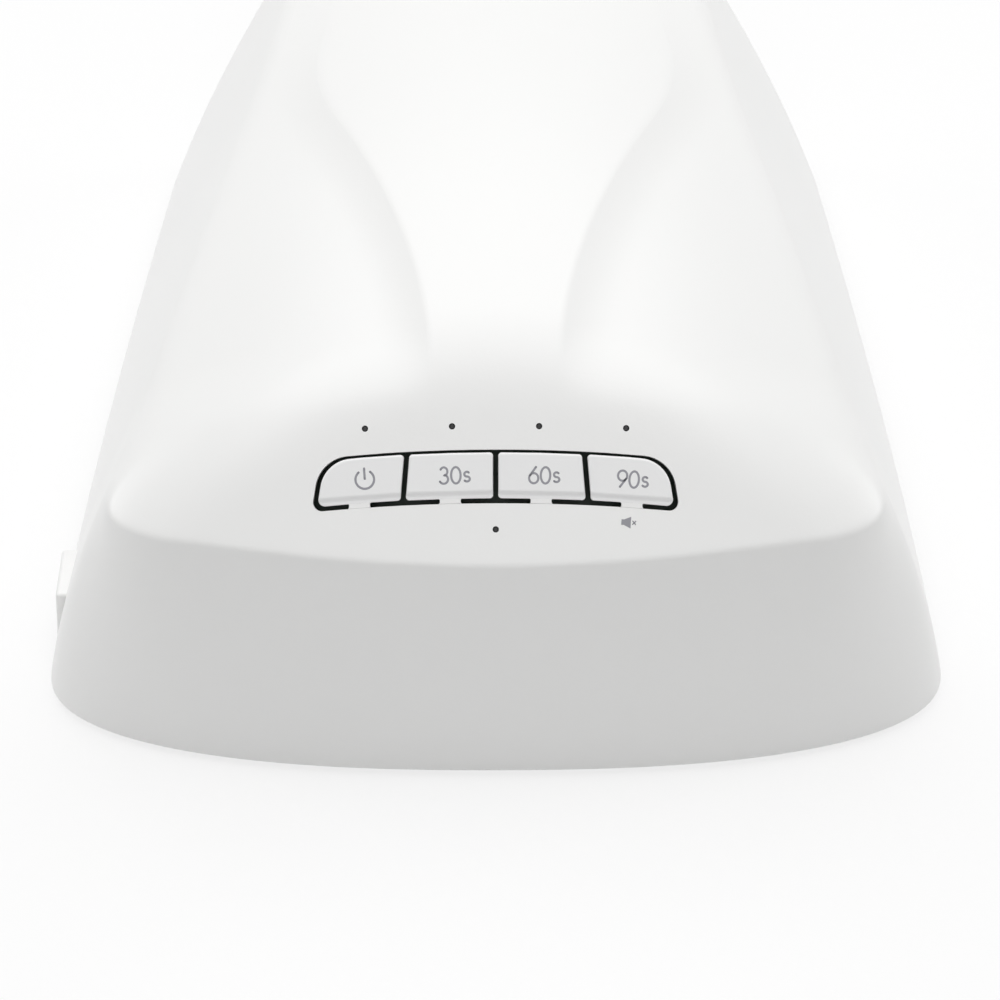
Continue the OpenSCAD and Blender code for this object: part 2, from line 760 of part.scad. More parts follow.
module reflector_liner() {
    flange_x = chamber_w / 2 + liner_t + flange_w;
    flange_y = chamber_depth + chamber_end_run + liner_t + flange_w;
    color("#d9dcde")
        difference() {
            union() {
                chamber(liner_t, liner_front);
                translate([-flange_x, -flange_y, liner_z])
                    cube([2 * flange_x, flange_y + liner_front - 8, liner_t]);
                roof_studs();
                flank_studs(-1);
                flank_studs(1);
                end_studs();
            }
            chamber(0, liner_front + 1);
            translate([-body_w / 2, -body_d / 2, liner_z - 3])
                cube([body_w, body_d, 3]);
            roof_places()
                cylinder(d = hole_d, h = liner_t * 4, center = true);
            flank_places(-1)
                cylinder(d = hole_d, h = liner_t * 4, center = true);
            flank_places(1)
                cylinder(d = hole_d, h = liner_t * 4, center = true);
            end_places()
                cylinder(d = hole_d, h = liner_t * 4, center = true);
            sensor_places()
                cylinder(d = 3 + fit, h = liner_t * 4, center = true);
            for (x = liner_screw_x)
                translate([x, liner_screw_y, liner_z - 1])
                    cylinder(d = liner_screw_d + fit, h = liner_t + 2);
        }
}

// LED: a round body on its board and a domed lens that stands into the chamber
module led() {
    shoulder = 0.2;
    color("#e8e3f2") {
        translate([0, 0, -shoulder])
            cylinder(d = lens_d, h = led_back + shoulder);
        translate([0, 0, -shoulder])
            intersection() {
                sphere(d = lens_d);
                translate([-lens_d, -lens_d, -lens_d])
                    cube([2 * lens_d, 2 * lens_d, lens_d + 0.1]);
            }
    }
}
module roof_leds() {
    roof_places()
        led();
}
module left_leds() {
    flank_places(-1)
        led();
}
module right_leds() {
    flank_places(1)
        led();
}
module end_leds() {
    end_places()
        led();
}

board_edge = 10;
module roof_board() {
    x = roof_x[len(roof_x) - 1] + board_edge;
    y0 = roof_y[0] - board_edge - 2;
    y1 = roof_y[len(roof_y) - 1] + board_edge + 2;
    color("#f2f2ee")
        translate([-x, y0, chamber_h + led_back])
            cube([2 * x, y1 - y0, board_t]);
}
module flank_board(side) {
    x0 = flank_len * (1 - flank_up[1]) - board_edge + 1;
    x1 = flank_len * (1 - flank_up[0]) + board_edge - 1;
    y0 = flank_y[0] - board_edge - 2;
    y1 = flank_y[len(flank_y) - 1] + board_edge + 2;
    color("#f2f2ee")
        on_flank(side)
            translate([x0, y0, led_back])
                cube([x1 - x0, y1 - y0, board_t]);
}
module left_board() {
    flank_board(-1);
}
module right_board() {
    flank_board(1);
}
module end_board() {
    x = end_x[len(end_x) - 1] + board_edge;
    color("#f2f2ee")
        on_end()
            translate([-x, -board_edge * 0.8, led_back])
                cube([2 * x, board_edge * 1.6, board_t]);
}

module hand_sensor() {
    block = [18, 8, 5];
    color("#1d1d20") {
        translate([-block[0] / 2, sensor_y - block[1] / 2, chamber_h + liner_t])
            cube(block);
        sensor_places()
            cylinder(d = 3, h = liner_t + 0.5);
    }
}

// Flat cable from the control board's underside to the top of the roof board
ribbon_t = 0.8;
ribbon_w = 9;
ribbon_v = board_v0 + board_len - 5;
function slope_yz(v, w) = [crease_y + v * cos(slope_angle) - w * sin(slope_angle),
    crease_z + v * sin(slope_angle) + w * cos(slope_angle)];
function seg_normal(a, b) = let(d = unit(b - a)) [-d[1], d[0]];
function band_normal(pts, k) = let(
    a = seg_normal(pts[max(k - 1, 0)], pts[max(k, 1)]),
    b = seg_normal(pts[min(k, len(pts) - 2)], pts[min(k + 1, len(pts) - 1)]))
    (a + b) / (1 + a * b);
function band(pts, t) = concat(
    [for (k = [0 : len(pts) - 1]) pts[k] + band_normal(pts, k) * t / 2],
    [for (k = [len(pts) - 1 : -1 : 0]) pts[k] - band_normal(pts, k) * t / 2]);
module led_ribbon() {
    lay_z = chamber_h + led_back + board_t + ribbon_t / 2;
    land_y = roof_y[0] - board_edge;
    color("#8f9296")
        translate([-ribbon_w / 2, 0, 0])
            rotate([90, 0, 90])
                linear_extrude(height = ribbon_w)
                    polygon(band([slope_yz(ribbon_v, -board_drop - board_t), slope_yz(ribbon_v, -board_drop - 5),
                        [land_y - 14, lay_z + 3], [land_y - 7, lay_z + 0.6], [land_y, lay_z],
                        [land_y + 6, lay_z]], ribbon_t));
}

// U-shaped frame under the shell: the tray runs in a groove along both arms
module base_frame() {
    color("#e9e9e7")
        difference() {
            translate([0, 0, frame_z])
                linear_extrude(height = frame_t)
                    polygon([for (m = [0 : loops - 1]) let(p = rim_at(m) - outward(m) * frame_inset) [p[0], p[1]]]);
            translate([-window_w / 2, ledge_w - tray_depth, frame_z - 1])
                cube([window_w, body_d, frame_t + 2]);
            translate([-tray_w / 2 - slide_fit, -tray_depth - slide_fit, groove_z])
                cube([tray_w + 2 * slide_fit, body_d, groove_top - groove_z]);
            boss_places() {
                translate([0, 0, frame_z - 1])
                    cylinder(d = screw_d + fit, h = frame_t + 2);
                translate([0, 0, frame_z - 1])
                    cylinder(d = screw_d * 1.85 + fit, h = head_h + 1 + slide_fit);
            }
            translate([inlet_low_x - 1, inlet_mid_y - inlet_len / 2 - fit, frame_z - 1])
                cube([inlet_back_x - inlet_low_x + 1 + fit, inlet_len + 2 * fit, frame_t + 2]);
            for (x = liner_screw_x)
                translate([x, liner_screw_y, frame_z + 1])
                    cylinder(d = liner_screw_d + 2 * pin_fit, h = frame_t);
            magnet_places()
                translate([-magnet[0] / 2 - pin_fit, -magnet[1] - tray_depth - slide_fit, groove_z])
                    cube([magnet[0] + 2 * pin_fit, magnet[1] + 1, groove_top - groove_z]);
        }
}
magnet = [10, 3, 2];
magnet_x = 40;
module magnet_places() {
    for (x = [-magnet_x, magnet_x])
        translate([x, 0, 0])
            children();
}
module frame_magnets() {
    color("#8d8f92")
        magnet_places()
            translate([-magnet[0] / 2, -magnet[1] - tray_depth - slide_fit, groove_z])
                cube(magnet);
}

module case_screws() {
    bite = 4;
    color("#b9bbbd")
        boss_places() {
            translate([0, 0, frame_z + slide_fit])
                cylinder(d = screw_d * 1.85, h = head_h);
            translate([0, 0, frame_z + slide_fit + head_h])
                cylinder(d = screw_d, h = frame_t - slide_fit - head_h + bite);
        }
}

module liner_screws() {
    color("#b9bbbd")
        for (x = liner_screw_x)
            translate([x, liner_screw_y, 0]) {
                translate([0, 0, liner_z + liner_t])
                    cylinder(d = liner_screw_d * 1.9, h = 1.3);
                translate([0, 0, liner_z - 3])
                    cylinder(d = liner_screw_d, h = liner_t + 3);
            }
}

module rubber_feet() {
    color("#3b3b3d")
        for (side = [-1, 1]) {
            translate([side * (rim_x(foot_back_y) - frame_inset - foot_d / 2 - fit), foot_back_y, 0])
                cylinder(d = foot_d, h = foot_h);
            translate([side * foot_front_x, foot_front_y, 0])
                cylinder(d = foot_d, h = foot_h);
        }
}

// Tray: a mirror-topped plate with a raised front lip to pull it by
module floor_tray() {
    lip_t = 3;
    lip_w = chamber_w - 12;
    color("#dfe2e4")
        difference() {
            union() {
                translate([-tray_w / 2, -tray_depth, tray_z])
                    cube([tray_w, tray_depth + tray_front, tray_t]);
                translate([-lip_w / 2, tray_front - lip_t, frame_z + fit])
                    cube([lip_w, lip_t, tray_z + tray_t + lip_h - frame_z - fit]);
            }
            magnet_places()
                translate([-magnet[0] / 2, -tray_depth - 1, tray_z - 1])
                    cube([magnet[0], catch_t + 1, tray_t + 2]);
        }
}
catch_t = 1;
module tray_catches() {
    color("#9a9ca0")
        magnet_places()
            translate([-magnet[0] / 2, -tray_depth, tray_z])
                cube([magnet[0], catch_t, tray_t]);
}

// Jack: a barrel with its centre pin, behind the inlet housing
module dc_jack() {
    color("#1c1c1e") {
        difference() {
            union() {
                inlet_axis(inlet_face_x + jack_recess)
                    cylinder(d = barrel_d, h = inlet_back_x - inlet_face_x - jack_recess + 1);
                translate([inlet_back_x, inlet_mid_y - jack_body[1] / 2, jack_z - jack_body[2] / 2])
                    cube(jack_body);
            }
            inlet_axis(inlet_face_x)
                cylinder(d = jack_bore, h = jack_depth + jack_recess);
        }
        inlet_axis(inlet_face_x + jack_recess + 1)
            cylinder(d = jack_pin_d, h = jack_depth);
    }
}

// Twin lead from the jack to the underside of the control board, swept along a route with eight sides
lead_d = 2.4;
lead_sides = 8;
lead_steps = 5;
lead_route = let(
    start = [inlet_back_x + jack_body[0], inlet_mid_y, jack_z],
    land = slope_yz(board_v0 + 10, -board_drop - board_t),
    drop = slope_yz(board_v0 + 10, -board_drop - board_t - 8))
    [start, start + [5, 0, 0], [-80.5, y_front + 26, 22], [-76, y_front + 20, 38], [-60, drop[0], drop[1] - 8],
     [-38, drop[0], drop[1]], [-38, land[0], land[1]]];
function spline(a, b, c, d, t) = 0.5 * (2 * b + (c - a) * t + (2 * a - 5 * b + 4 * c - d) * t * t
    + (3 * b - a - 3 * c + d) * t * t * t);
function route_point(pts, s) = let(n = len(pts) - 1, k = min(floor(s), n - 1))
    spline(pts[max(k - 1, 0)], pts[k], pts[k + 1], pts[min(k + 2, n)], s - k);
module tube(pts, d) {
    n = (len(pts) - 1) * lead_steps;
    line = [for (s = [0 : n]) route_point(pts, s / lead_steps)];
    points = [for (s = [0 : n]) let(
        t = s == 0 ? unit(pts[1] - pts[0]) : s == n ? unit(pts[len(pts) - 1] - pts[len(pts) - 2])
            : unit(line[s + 1] - line[s - 1]),
        a = unit(cross(t, [0.1, 1, 0.3])),
        b = cross(t, a))
        each [for (k = [0 : lead_sides - 1]) line[s] + d / 2 * (a * cos(360 * k / lead_sides)
            + b * sin(360 * k / lead_sides))]];
    faces = concat([[for (k = [0 : lead_sides - 1]) k]],
        [for (s = [0 : n - 1]) for (k = [0 : lead_sides - 1]) let(
            q = (k + 1) % lead_sides,
            e = s * lead_sides,
            g = e + lead_sides)
            each [[e + k, g + k, g + q], [e + k, g + q, e + q]]],
        [[for (k = [lead_sides - 1 : -1 : 0]) n * lead_sides + k]]);
    polyhedron(points = points, faces = faces);
}
module jack_lead() {
    color("#26262a")
        tube(lead_route, lead_d);
}

top_shell();
power_key();
key_30s();
key_60s();
key_90s();
power_plunger();
plunger_30s();
plunger_60s();
plunger_90s();
switch_housings();
control_board();
board_screws();
indicator_leds();
light_guides();
timer_chip();
sounder();
reflector_liner();
roof_board();
left_board();
right_board();
end_board();
roof_leds();
left_leds();
right_leds();
end_leds();
hand_sensor();
led_ribbon();
base_frame();
case_screws();
liner_screws();
rubber_feet();
floor_tray();
tray_catches();
frame_magnets();
dc_jack();
jack_lead();
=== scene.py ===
"""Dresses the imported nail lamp: white shell, sprung keys, mirror chamber, LEDs, tray and studio light.

Sizes are millimetres, in the frame of the CAD part. The mesh builders turn them into metres.
"""

import math

import bmesh
import bpy
from mathutils import Matrix, Vector


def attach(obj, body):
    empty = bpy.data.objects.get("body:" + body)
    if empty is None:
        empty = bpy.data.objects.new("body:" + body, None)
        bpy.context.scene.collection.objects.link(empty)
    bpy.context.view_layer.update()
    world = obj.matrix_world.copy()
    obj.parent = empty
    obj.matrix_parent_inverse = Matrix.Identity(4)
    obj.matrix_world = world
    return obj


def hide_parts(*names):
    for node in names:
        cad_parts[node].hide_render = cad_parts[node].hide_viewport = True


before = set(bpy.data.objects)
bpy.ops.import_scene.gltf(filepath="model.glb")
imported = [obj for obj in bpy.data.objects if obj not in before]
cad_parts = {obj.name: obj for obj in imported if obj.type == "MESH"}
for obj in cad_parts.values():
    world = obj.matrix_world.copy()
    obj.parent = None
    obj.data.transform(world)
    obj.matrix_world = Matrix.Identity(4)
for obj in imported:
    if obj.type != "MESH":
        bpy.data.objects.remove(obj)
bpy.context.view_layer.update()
MM = 0.001
LAMP = "lamp"
# Edges that bend more than this many degrees are shaded sharp, or bevelled
SHELL_SHARP, PAD_SHARP, BEVEL_FROM = 30, 40, 40

# Camera: the photo's viewing angle and distance
AIM = (0, -25, 2)
DISTANCE = 629.4
ELEVATION = 50
LENS = 86.4
SENSOR = 36
SHIFT_X = 0.0043
ROLL = 0.1

# Shell in plan
BODY_W, BODY_D, BODY_H, BACK_W = 220, 220, 105.5, 186
FRONT_ARC, BOW_POWER, SIDE_POWER, BACK_CORNER = 30, 2.4, 1.4, 14
FRONT_INSET, BACK_INSET = 8.5, 5
Y_FRONT, Y_BACK = -BODY_D / 2, BODY_D / 2
Y_TURN = Y_FRONT + FRONT_ARC
CORNER_Y, CORNER_SPLIT = Y_BACK - BACK_CORNER, 45
BACK_EDGE_Y, EDGE_ROUND = Y_BACK - BACK_INSET, 3.5
RIM_Z, RIM_FRONT_X = 2, 0.838 * BODY_W / 2

# Crease between the front wall and the key slope, and the slope
CREASE_H, SLOPE, WALL = 68.2, 38, 2.4
CREASE_Y, CREASE_Z = Y_FRONT + FRONT_INSET, RIM_Z + CREASE_H
CREASE_RISE, CREASE_POWER, CREASE_SQUARING = 10, 2.58, 8
SLOPE_FALL, SLOPE_FLAT_X = 0.0022, 42

# Crown: a dome whose centre is at CROWN_Y, blended into the slope
CROWN_SIDE, CROWN_LENGTH, CROWN_Y, CROWN_BLEND = 320, 1250, 20, 8

# Shoulders, where the top meets the side walls, and their front corners
SHOULDER_W, SHOULDER_BACK_W, SHOULDER_TAPER = 176, 100, 0.235
CORNER_RISE, CORNER_SHARE, CORNER_FLARE, FLARE_LEN = 1, 0.12, 4.6, 20
CORNER_DROP, DROP_REACH = 0.8, 14
SIDE_Y0 = CREASE_Y + CREASE_RISE + CORNER_RISE

# Raised spine: it opens to the rear, and its edge fades in at the slope and out past the crown
SPINE_W, SPINE_STEP, STEP_W, SPINE_Q = 28, 2.2, 12, 0.25
SPINE_FRONT_Y, SPINE_LEAD, SPINE_FADE, SPINE_END = CREASE_Y + 35.5, 8, 20, 50
SPINE_OPENING, SPINE_POWER, SPINE_MARGIN, SPINE_BLEND = 0.0146, 1.7, 14, 12

# Rounds of the edges: reach in mm, PLAN_ROUND and BLEND in grid points, the fades as shares of the length
CREASE_ROUND, SHOULDER_ROUND, CORNER_ROUND, PLAN_ROUND, BLEND = 1, 3.4, 7, 13, 30
CREASE_FADE, CORNER_REACH = 0.09, 0.2

# Walls: their swell, the rounded rim, and the heights of their rings as shares of the wall
SIDE_SWELL, FRONT_SWELL, RIM_ROUND, RIM_SHARE = 2.5, 0.7, 0.8, 0.015
WALL_LEVELS = [0, 0.003, 0.008, RIM_SHARE, 0.04, 0.1] + [k * 0.09 for k in range(2, 9)] + [0.8, 0.87]
INNER_INSET, INNER_LIFT, UP_STEP = 2.6, 0.02, 0.05
GRID_ROWS, GRID_COLS, FILLET_ROWS = 112, 144, 6

# Keys
KEYS, PITCH, STRIP_V, STRIP_H, GAP, TOP_GAP = 4, 20, 14.6, 11, 1.1, 0.62
PROUD, TONGUE_W, TONGUE_T, TONGUE_GAP, STRIP_BOW, LEAN, END_TRIM = 0.6, 4.6, 1.4, 0.05, 421, 0.0041, 0.9
END_CORNER, FOOT_CORNER, PAD_CORNER = 7.8, 2, 0.8
PAD_ROUND, PAD_SUNK, FOOT_FLAT, FOOT_RAMP, RAMP_STEPS = 0.55, 0.12, 0.45, 1.5, 8
PAD_RINGS = [0, 0.04, PAD_SUNK, 0.22, 0.35, PAD_ROUND]
TONGUE_SIDE, HAIR, FILLET_R, FILLET_T, FILLET_SUNK, FILLET_LAP = 0.3, 0.01, 0.5, 1.3, 0.1, 0.02
STEM_V, STEM_R, STEM_REACH, STEM_BEVEL = STRIP_V + STRIP_H * 0.6, 1.5, 5.2, 0.2
HOLE_D, HOLE_PITCH, HOLE_V, STATUS_V = 1.4, 19.2, STRIP_V + 16.5, STRIP_V - 6.3
CUT_BELOW, CUT_ABOVE = 6, 3
KEY_NODES = ["power_key", "key_30s", "key_60s", "key_90s"]
KEY_BODIES = ["power_key_lever", "key_30s_lever", "key_60s_lever", "key_90s_lever"]

# Inlet
INLET_Y, INLET_LEN, INLET_H, JACK_Z = Y_FRONT + 45.4, 14.4, 20, 13
INLET_FACE_LOW, INLET_FACE_HIGH, INLET_BACK, INLET_ROUND = -109.5, -107.2, -99.5, 0.8
BORE_D, BORE_X, BORE_REACH = 8, -105, 20

# Chamber and base
LINER_FRONT, OPENING_LIP, OPENING_SILL, PAST_BACK = Y_BACK - WALL - BACK_INSET - 0.3, 1.2, 1, 10
CHAMBER_W, CHAMBER_ROOF_W, CHAMBER_H, CHAMBER_CORNER, LINER_Z = 152, 100, 64, 14, 6.4
TRAY_W, TRAY_GAP, GROOVE_TOP = 164, 0.3, 5.3

# Printed marks: stroke, height and widening of the letters, and their places on the slope
INK_W, CAP, SPREAD, INK_LIFT = 0.48, 3.6, 1.1, 0.015
RING_R, RING_W, RING_START, RING_END, BAR_FOOT, BAR_PAST = 2.05, 0.5, 128, 412, 0.15, 0.35
BOX_X, BOX_Y, HORN_X, MOUTH_X, MOUTH_Y = -1.15, 0.62, -0.55, 0.95, 1.3
CROSS_X0, CROSS_X1, CROSS_Y, CROSS_W = 1.35, 2.0, 0.35, 0.26
POWER_U, MARK_30_U, MARK_60_U, MARK_90_U, MARK_V = -28.8, -9.0, 10.7, 30.2, 20.3
MUTE_U, MUTE_V = 28.8, 9.8

# Light guides: foot, collar and domed tip, down from the slope
GUIDE_GAP, GUIDE_FOOT, COLLAR_LOW, COLLAR_HIGH, COLLAR_EDGE = 0.05, 9.8, 3.7, 2.7, 1
TIP_EDGE, TIP_MID, TIP_NEAR, TIP_TOP = 0.55, 0.42, 0.36, 0.34

# Studio: the world's glow on the object, the floor's size and how much it glows for the camera
WORLD_GLOW, FLOOR_SIZE, FLOOR_GLOW = 0.18, 4000, 0.75


# Materials
def linear(hexa):
    """sRGB hex colour as linear RGBA."""
    out = []
    for k in (0, 2, 4):
        c = int(hexa[k:k + 2], 16) / 255
        out.append(c / 12.92 if c <= 0.04045 else ((c + 0.055) / 1.055) ** 2.4)
    return (*out, 1)


def per_mm(size):
    """Texture scale whose pattern repeats about every size millimetres."""
    return 1 / (size * MM)


def put(tree, kind, values=None, links=None, **settings):
    """Adds a node with its settings, socket values and incoming links."""
    n = tree.nodes.new(kind)
    for k, v in settings.items():
        setattr(n, k, v)
    for k, v in (values or {}).items():
        n.inputs[k].default_value = v
    for k, v in (links or {}).items():
        tree.links.new(v, n.inputs[k])
    return n


def material(name, colour, rough, grain=0.6, bump=0.02, spread=0.04, patch=14, shade=0.015, **extra):
    """Procedural surface: patchy roughness and shade over a fine bump, on a principled shader."""
    m = bpy.data.materials.new(name)
    m.use_nodes = True
    t = m.node_tree
    t.nodes.clear()
    where = put(t, "ShaderNodeTexCoord").outputs["Object"]
    fine = put(t, "ShaderNodeTexNoise", {"Scale": per_mm(grain), "Detail": 2}, {"Vector": where})
    wide = put(t, "ShaderNodeTexNoise", {"Scale": per_mm(patch), "Detail": 3}, {"Vector": where})
    gloss = put(t, "ShaderNodeMapRange", {"To Min": rough - spread, "To Max": rough + spread},
                {"Value": wide.outputs["Fac"]})
    base = linear(colour)
    ramp = put(t, "ShaderNodeValToRGB", links={"Fac": wide.outputs["Fac"]})
    ramp.color_ramp.elements[0].color = (*[c * (1 - shade) for c in base[:3]], 1)
    ramp.color_ramp.elements[1].color = (*[min(1, c * (1 + shade)) for c in base[:3]], 1)
    relief = put(t, "ShaderNodeBump", {"Strength": bump, "Distance": grain * MM},
                 {"Height": fine.outputs["Fac"]})
    skin = put(t, "ShaderNodeBsdfPrincipled", extra,
               {"Base Color": ramp.outputs["Color"], "Roughness": gloss.outputs["Result"],
                "Normal": relief.outputs["Normal"]})
    put(t, "ShaderNodeOutputMaterial", links={"Surface": skin.outputs["BSDF"]})
    return m


# Moulded white ABS: soft sheen with a faint orange peel
ABS = material("white_abs", "F4F4F3", 0.34, 0.9, 0.02, 0.03, 30, 0.004)
# Key ABS: the same resin, polished a little by fingers
KEY_ABS = material("key_abs", "F1F1F1", 0.30, 0.7, 0.015, 0.03, 8, 0.004)
# Painted shade: black on the walls of the gaps round the keys and of the holes, standing in for the
# shadow inside them
GAP_SHADE_PAINT = material("painted_gap_shade", "0B0B0C", 0.6, 0.4, 0.05)
# Pad-printed ink: a flat, dull grey on the glossier keys
INK = material("grey_ink", "94949A", 0.55, 0.15, 0.05, 0.05, 2, 0.03)
# Smoked acrylic light guides, black when unlit
SMOKED = material("smoked_acrylic", "09090A", 0.35, 0.3, 0.01)
# Moulded nylon of switches and chips: dull near-black with a fine grain
DARK_PLASTIC = material("dark_plastic", "2B2B2E", 0.5, 0.25, 0.08)
# Green solder mask: an even gloss, mottled where copper lies under it
MASK_GREEN = material("solder_mask_green", "12351F", 0.35, 1.2, 0.08, 0.06, 5, 0.12)
# White solder mask of the LED boards: chalky white with a low gloss
MASK_WHITE = material("solder_mask_white", "EFEFEA", 0.4, 1.2, 0.05, 0.05, 6, 0.02)
# Zinc-plated steel screws: bright grey metal with cloudy patches
ZINC = material("zinc_plate", "B9BBBD", 0.3, 0.2, 0.05, 0.08, 3, 0.05, Metallic=1)
# Epoxy LED lenses: pale violet beads with a wet highlight
LENS_EPOXY = material("lens_epoxy", "F4F0FA", 0.18, 0.5, 0.0, 0.02, 3, 0.01, **{"Coat Weight": 0.6})
# Vacuum-metallised liner: a mirror blurred by the moulding under it
MIRROR = material("metallised_liner", "E3E5E8", 0.28, 2.5, 0.02, 0.05, 20, 0.01, Metallic=1)
# Polished metal tray: a nearly clear mirror with faint waves
TRAY_MIRROR = material("mirror_tray", "D9DCDE", 0.1, 3, 0.02, 0.03, 25, 0.01, Metallic=1)
# Textured ABS of the frame: the shell's white, but matte
FRAME_ABS = material("frame_abs", "E9E9E7", 0.45, 0.5, 0.05, 0.04, 20, 0.01)
# Moulded rubber feet: dull dark grey without a highlight
RUBBER = material("rubber", "353537", 0.8, 0.3, 0.15, 0.05, 3, 0.05)
# PVC ribbon cable: smooth mid grey with a soft sheen
RIBBON = material("ribbon_pvc", "8F9296", 0.45, 0.6, 0.1)
# PVC sleeve of the lead: near-black with a soft sheen
SLEEVE = material("lead_sleeve", "26262A", 0.5, 0.3, 0.05)
# Steel catches and plated magnets: mid-grey metal with cloudy patches
STEEL = material("catch_steel", "A3A6AA", 0.35, 0.3, 0.05, 0.08, 3, 0.05, Metallic=1)


# Mesh helpers
def build(name, points, faces, mat, body=LAMP, place=None):
    """Mesh object from millimetre points, riding on a body."""
    mesh = bpy.data.meshes.new(name)
    mesh.from_pydata([Vector(p) * MM for p in points], [], faces)
    obj = bpy.data.objects.new(name, mesh)
    bpy.context.scene.collection.objects.link(obj)
    if place is not None:
        mesh.transform(place)
    mesh.validate()
    mesh.materials.append(mat)
    shade(obj, SHELL_SHARP)
    if body:
        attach(obj, body)
    return obj


def shade(obj, angle):
    """Smooth shading, with edges that bend more than the angle left sharp."""
    obj.data.shade_smooth()
    obj.data.set_sharp_from_angle(angle=math.radians(angle))


def apply(obj, kind, **settings):
    """Adds a modifier and applies it."""
    mod = obj.modifiers.new("m", kind)
    for k, v in settings.items():
        setattr(mod, k, v)
    dg = bpy.context.evaluated_depsgraph_get()
    made = bpy.data.meshes.new_from_object(obj.evaluated_get(dg))
    obj.modifiers.clear()
    obj.data = made


def cut(obj, cutters):
    """Cuts the cutters out of the object and removes them."""
    for c in cutters:
        apply(obj, "BOOLEAN", object=c, operation="DIFFERENCE", solver="MANIFOLD")
        bpy.data.objects.remove(c)


def prism(points, w0, w1):
    """Points and faces of a straight prism over a counter-clockwise outline."""
    n = len(points)
    pts = [(x, y, w0) for x, y in points] + [(x, y, w1) for x, y in points]
    faces = [list(range(n - 1, -1, -1)), list(range(n, 2 * n))]
    faces += [[k, (k + 1) % n, n + (k + 1) % n, n + k] for k in range(n)]
    return pts, faces


def turned(profile, n=24):
    """Points and faces of a shape turned about Z. Its profile runs from the lower axis point outward."""
    pts, faces, rings = [], [], []
    for r, z in profile:
        if r == 0:
            rings.append([len(pts)])
            pts.append((0, 0, z))
        else:
            rings.append(list(range(len(pts), len(pts) + n)))
            turns = [2 * math.pi * k / n for k in range(n)]
            pts += [(r * math.cos(t), r * math.sin(t), z) for t in turns]
    for a, b in zip(rings, rings[1:]):
        for k in range(n):
            q = [a[k % len(a)], a[(k + 1) % len(a)], b[(k + 1) % len(b)], b[k % len(b)]]
            faces.append([v for i, v in enumerate(q) if v not in q[:i]])
    return pts, faces


def unit2(x, y):
    """Direction of length 1."""
    d = math.hypot(x, y)
    return x / d, y / d


def rounded(pts, radii):
    """Outline with each corner rounded by its radius."""
    out = []
    n = len(pts)
    for k, (p, r) in enumerate(zip(pts, radii)):
        a, b = pts[k - 1], pts[(k + 1) % n]
        if r <= 0:
            out.append(p)
            continue
        u, v = unit2(a[0] - p[0], a[1] - p[1]), unit2(b[0] - p[0], b[1] - p[1])
        half = math.acos(max(-1, min(1, u[0] * v[0] + u[1] * v[1]))) / 2
        reach = r / math.tan(half)
        m = unit2(u[0] + v[0], u[1] + v[1])
        c = p[0] + m[0] * r / math.sin(half), p[1] + m[1] * r / math.sin(half)
        f = p[0] + u[0] * reach - c[0], p[1] + u[1] * reach - c[1]
        sweep = (-1 if u[0] * v[1] - u[1] * v[0] > 0 else 1) * (math.pi - 2 * half)
        steps = max(2, math.ceil(abs(sweep) / math.radians(6)))
        for s in range(steps + 1):
            t = sweep * s / steps
            out.append((c[0] + f[0] * math.cos(t) - f[1] * math.sin(t),
                        c[1] + f[0] * math.sin(t) + f[1] * math.cos(t)))
    return out


# Shell surface
def ease(t):
    """Runs from 0 to 1 with a soft start and end."""
    t = max(0, min(1, t))
    return t * t * (3 - 2 * t)


def soft_min(a, b, k):
    """The smaller of two values, blended where they are less than k apart."""
    return min(a, b) - (max(k - abs(a - b), 0) / k) ** 2 * k / 4


def side_x(y):
    """Half width of the rim behind the bow, which narrows to the rear."""
    return BODY_W / 2 - (BODY_W - BACK_W) / 2 * max(0, (y - Y_TURN) / (Y_BACK - Y_TURN)) ** SIDE_POWER


def bow_x(y):
    """Half width of the rim along the bow at the front."""
    return BODY_W / 2 * max(0, 1 - ((Y_TURN - y) / FRONT_ARC) ** BOW_POWER) ** (1 / BOW_POWER)


def bow_y(x):
    """Front of the rim across its width."""
    return Y_TURN - FRONT_ARC * max(0, 1 - (abs(x) / (BODY_W / 2)) ** BOW_POWER) ** (1 / BOW_POWER)


def rim_x(y):
    """Half width of the rim, with its rounded rear corners."""
    if y < Y_TURN:
        return bow_x(y)
    turn = BACK_CORNER - math.sqrt(max(0, BACK_CORNER ** 2 - max(0, y - CORNER_Y) ** 2))
    return side_x(y) - turn


def rim_back_y(x):
    """Rear of the rim across its width."""
    corner_x = side_x(Y_BACK) - BACK_CORNER
    return CORNER_Y + math.sqrt(max(0, BACK_CORNER ** 2 - max(0, abs(x) - corner_x) ** 2))


def shoulder_x(y):
    """Half width of the top: flared at the front corners, then tapering, and even at the rear."""
    line = SHOULDER_W / 2 - SHOULDER_TAPER * (y - CREASE_Y - CREASE_RISE)
    flare = CORNER_FLARE * (1 - ease((y - SIDE_Y0) / FLARE_LEN))
    return -soft_min(-SHOULDER_BACK_W / 2, -line, STEP_W) + flare


def spine_x(y):
    """Half width of the raised spine, always inside the shoulders."""
    half = SPINE_W / 2 + SPINE_OPENING * max(0, y - SPINE_FRONT_Y) ** SPINE_POWER
    return soft_min(half, shoulder_x(y) - SPINE_MARGIN, SPINE_BLEND)


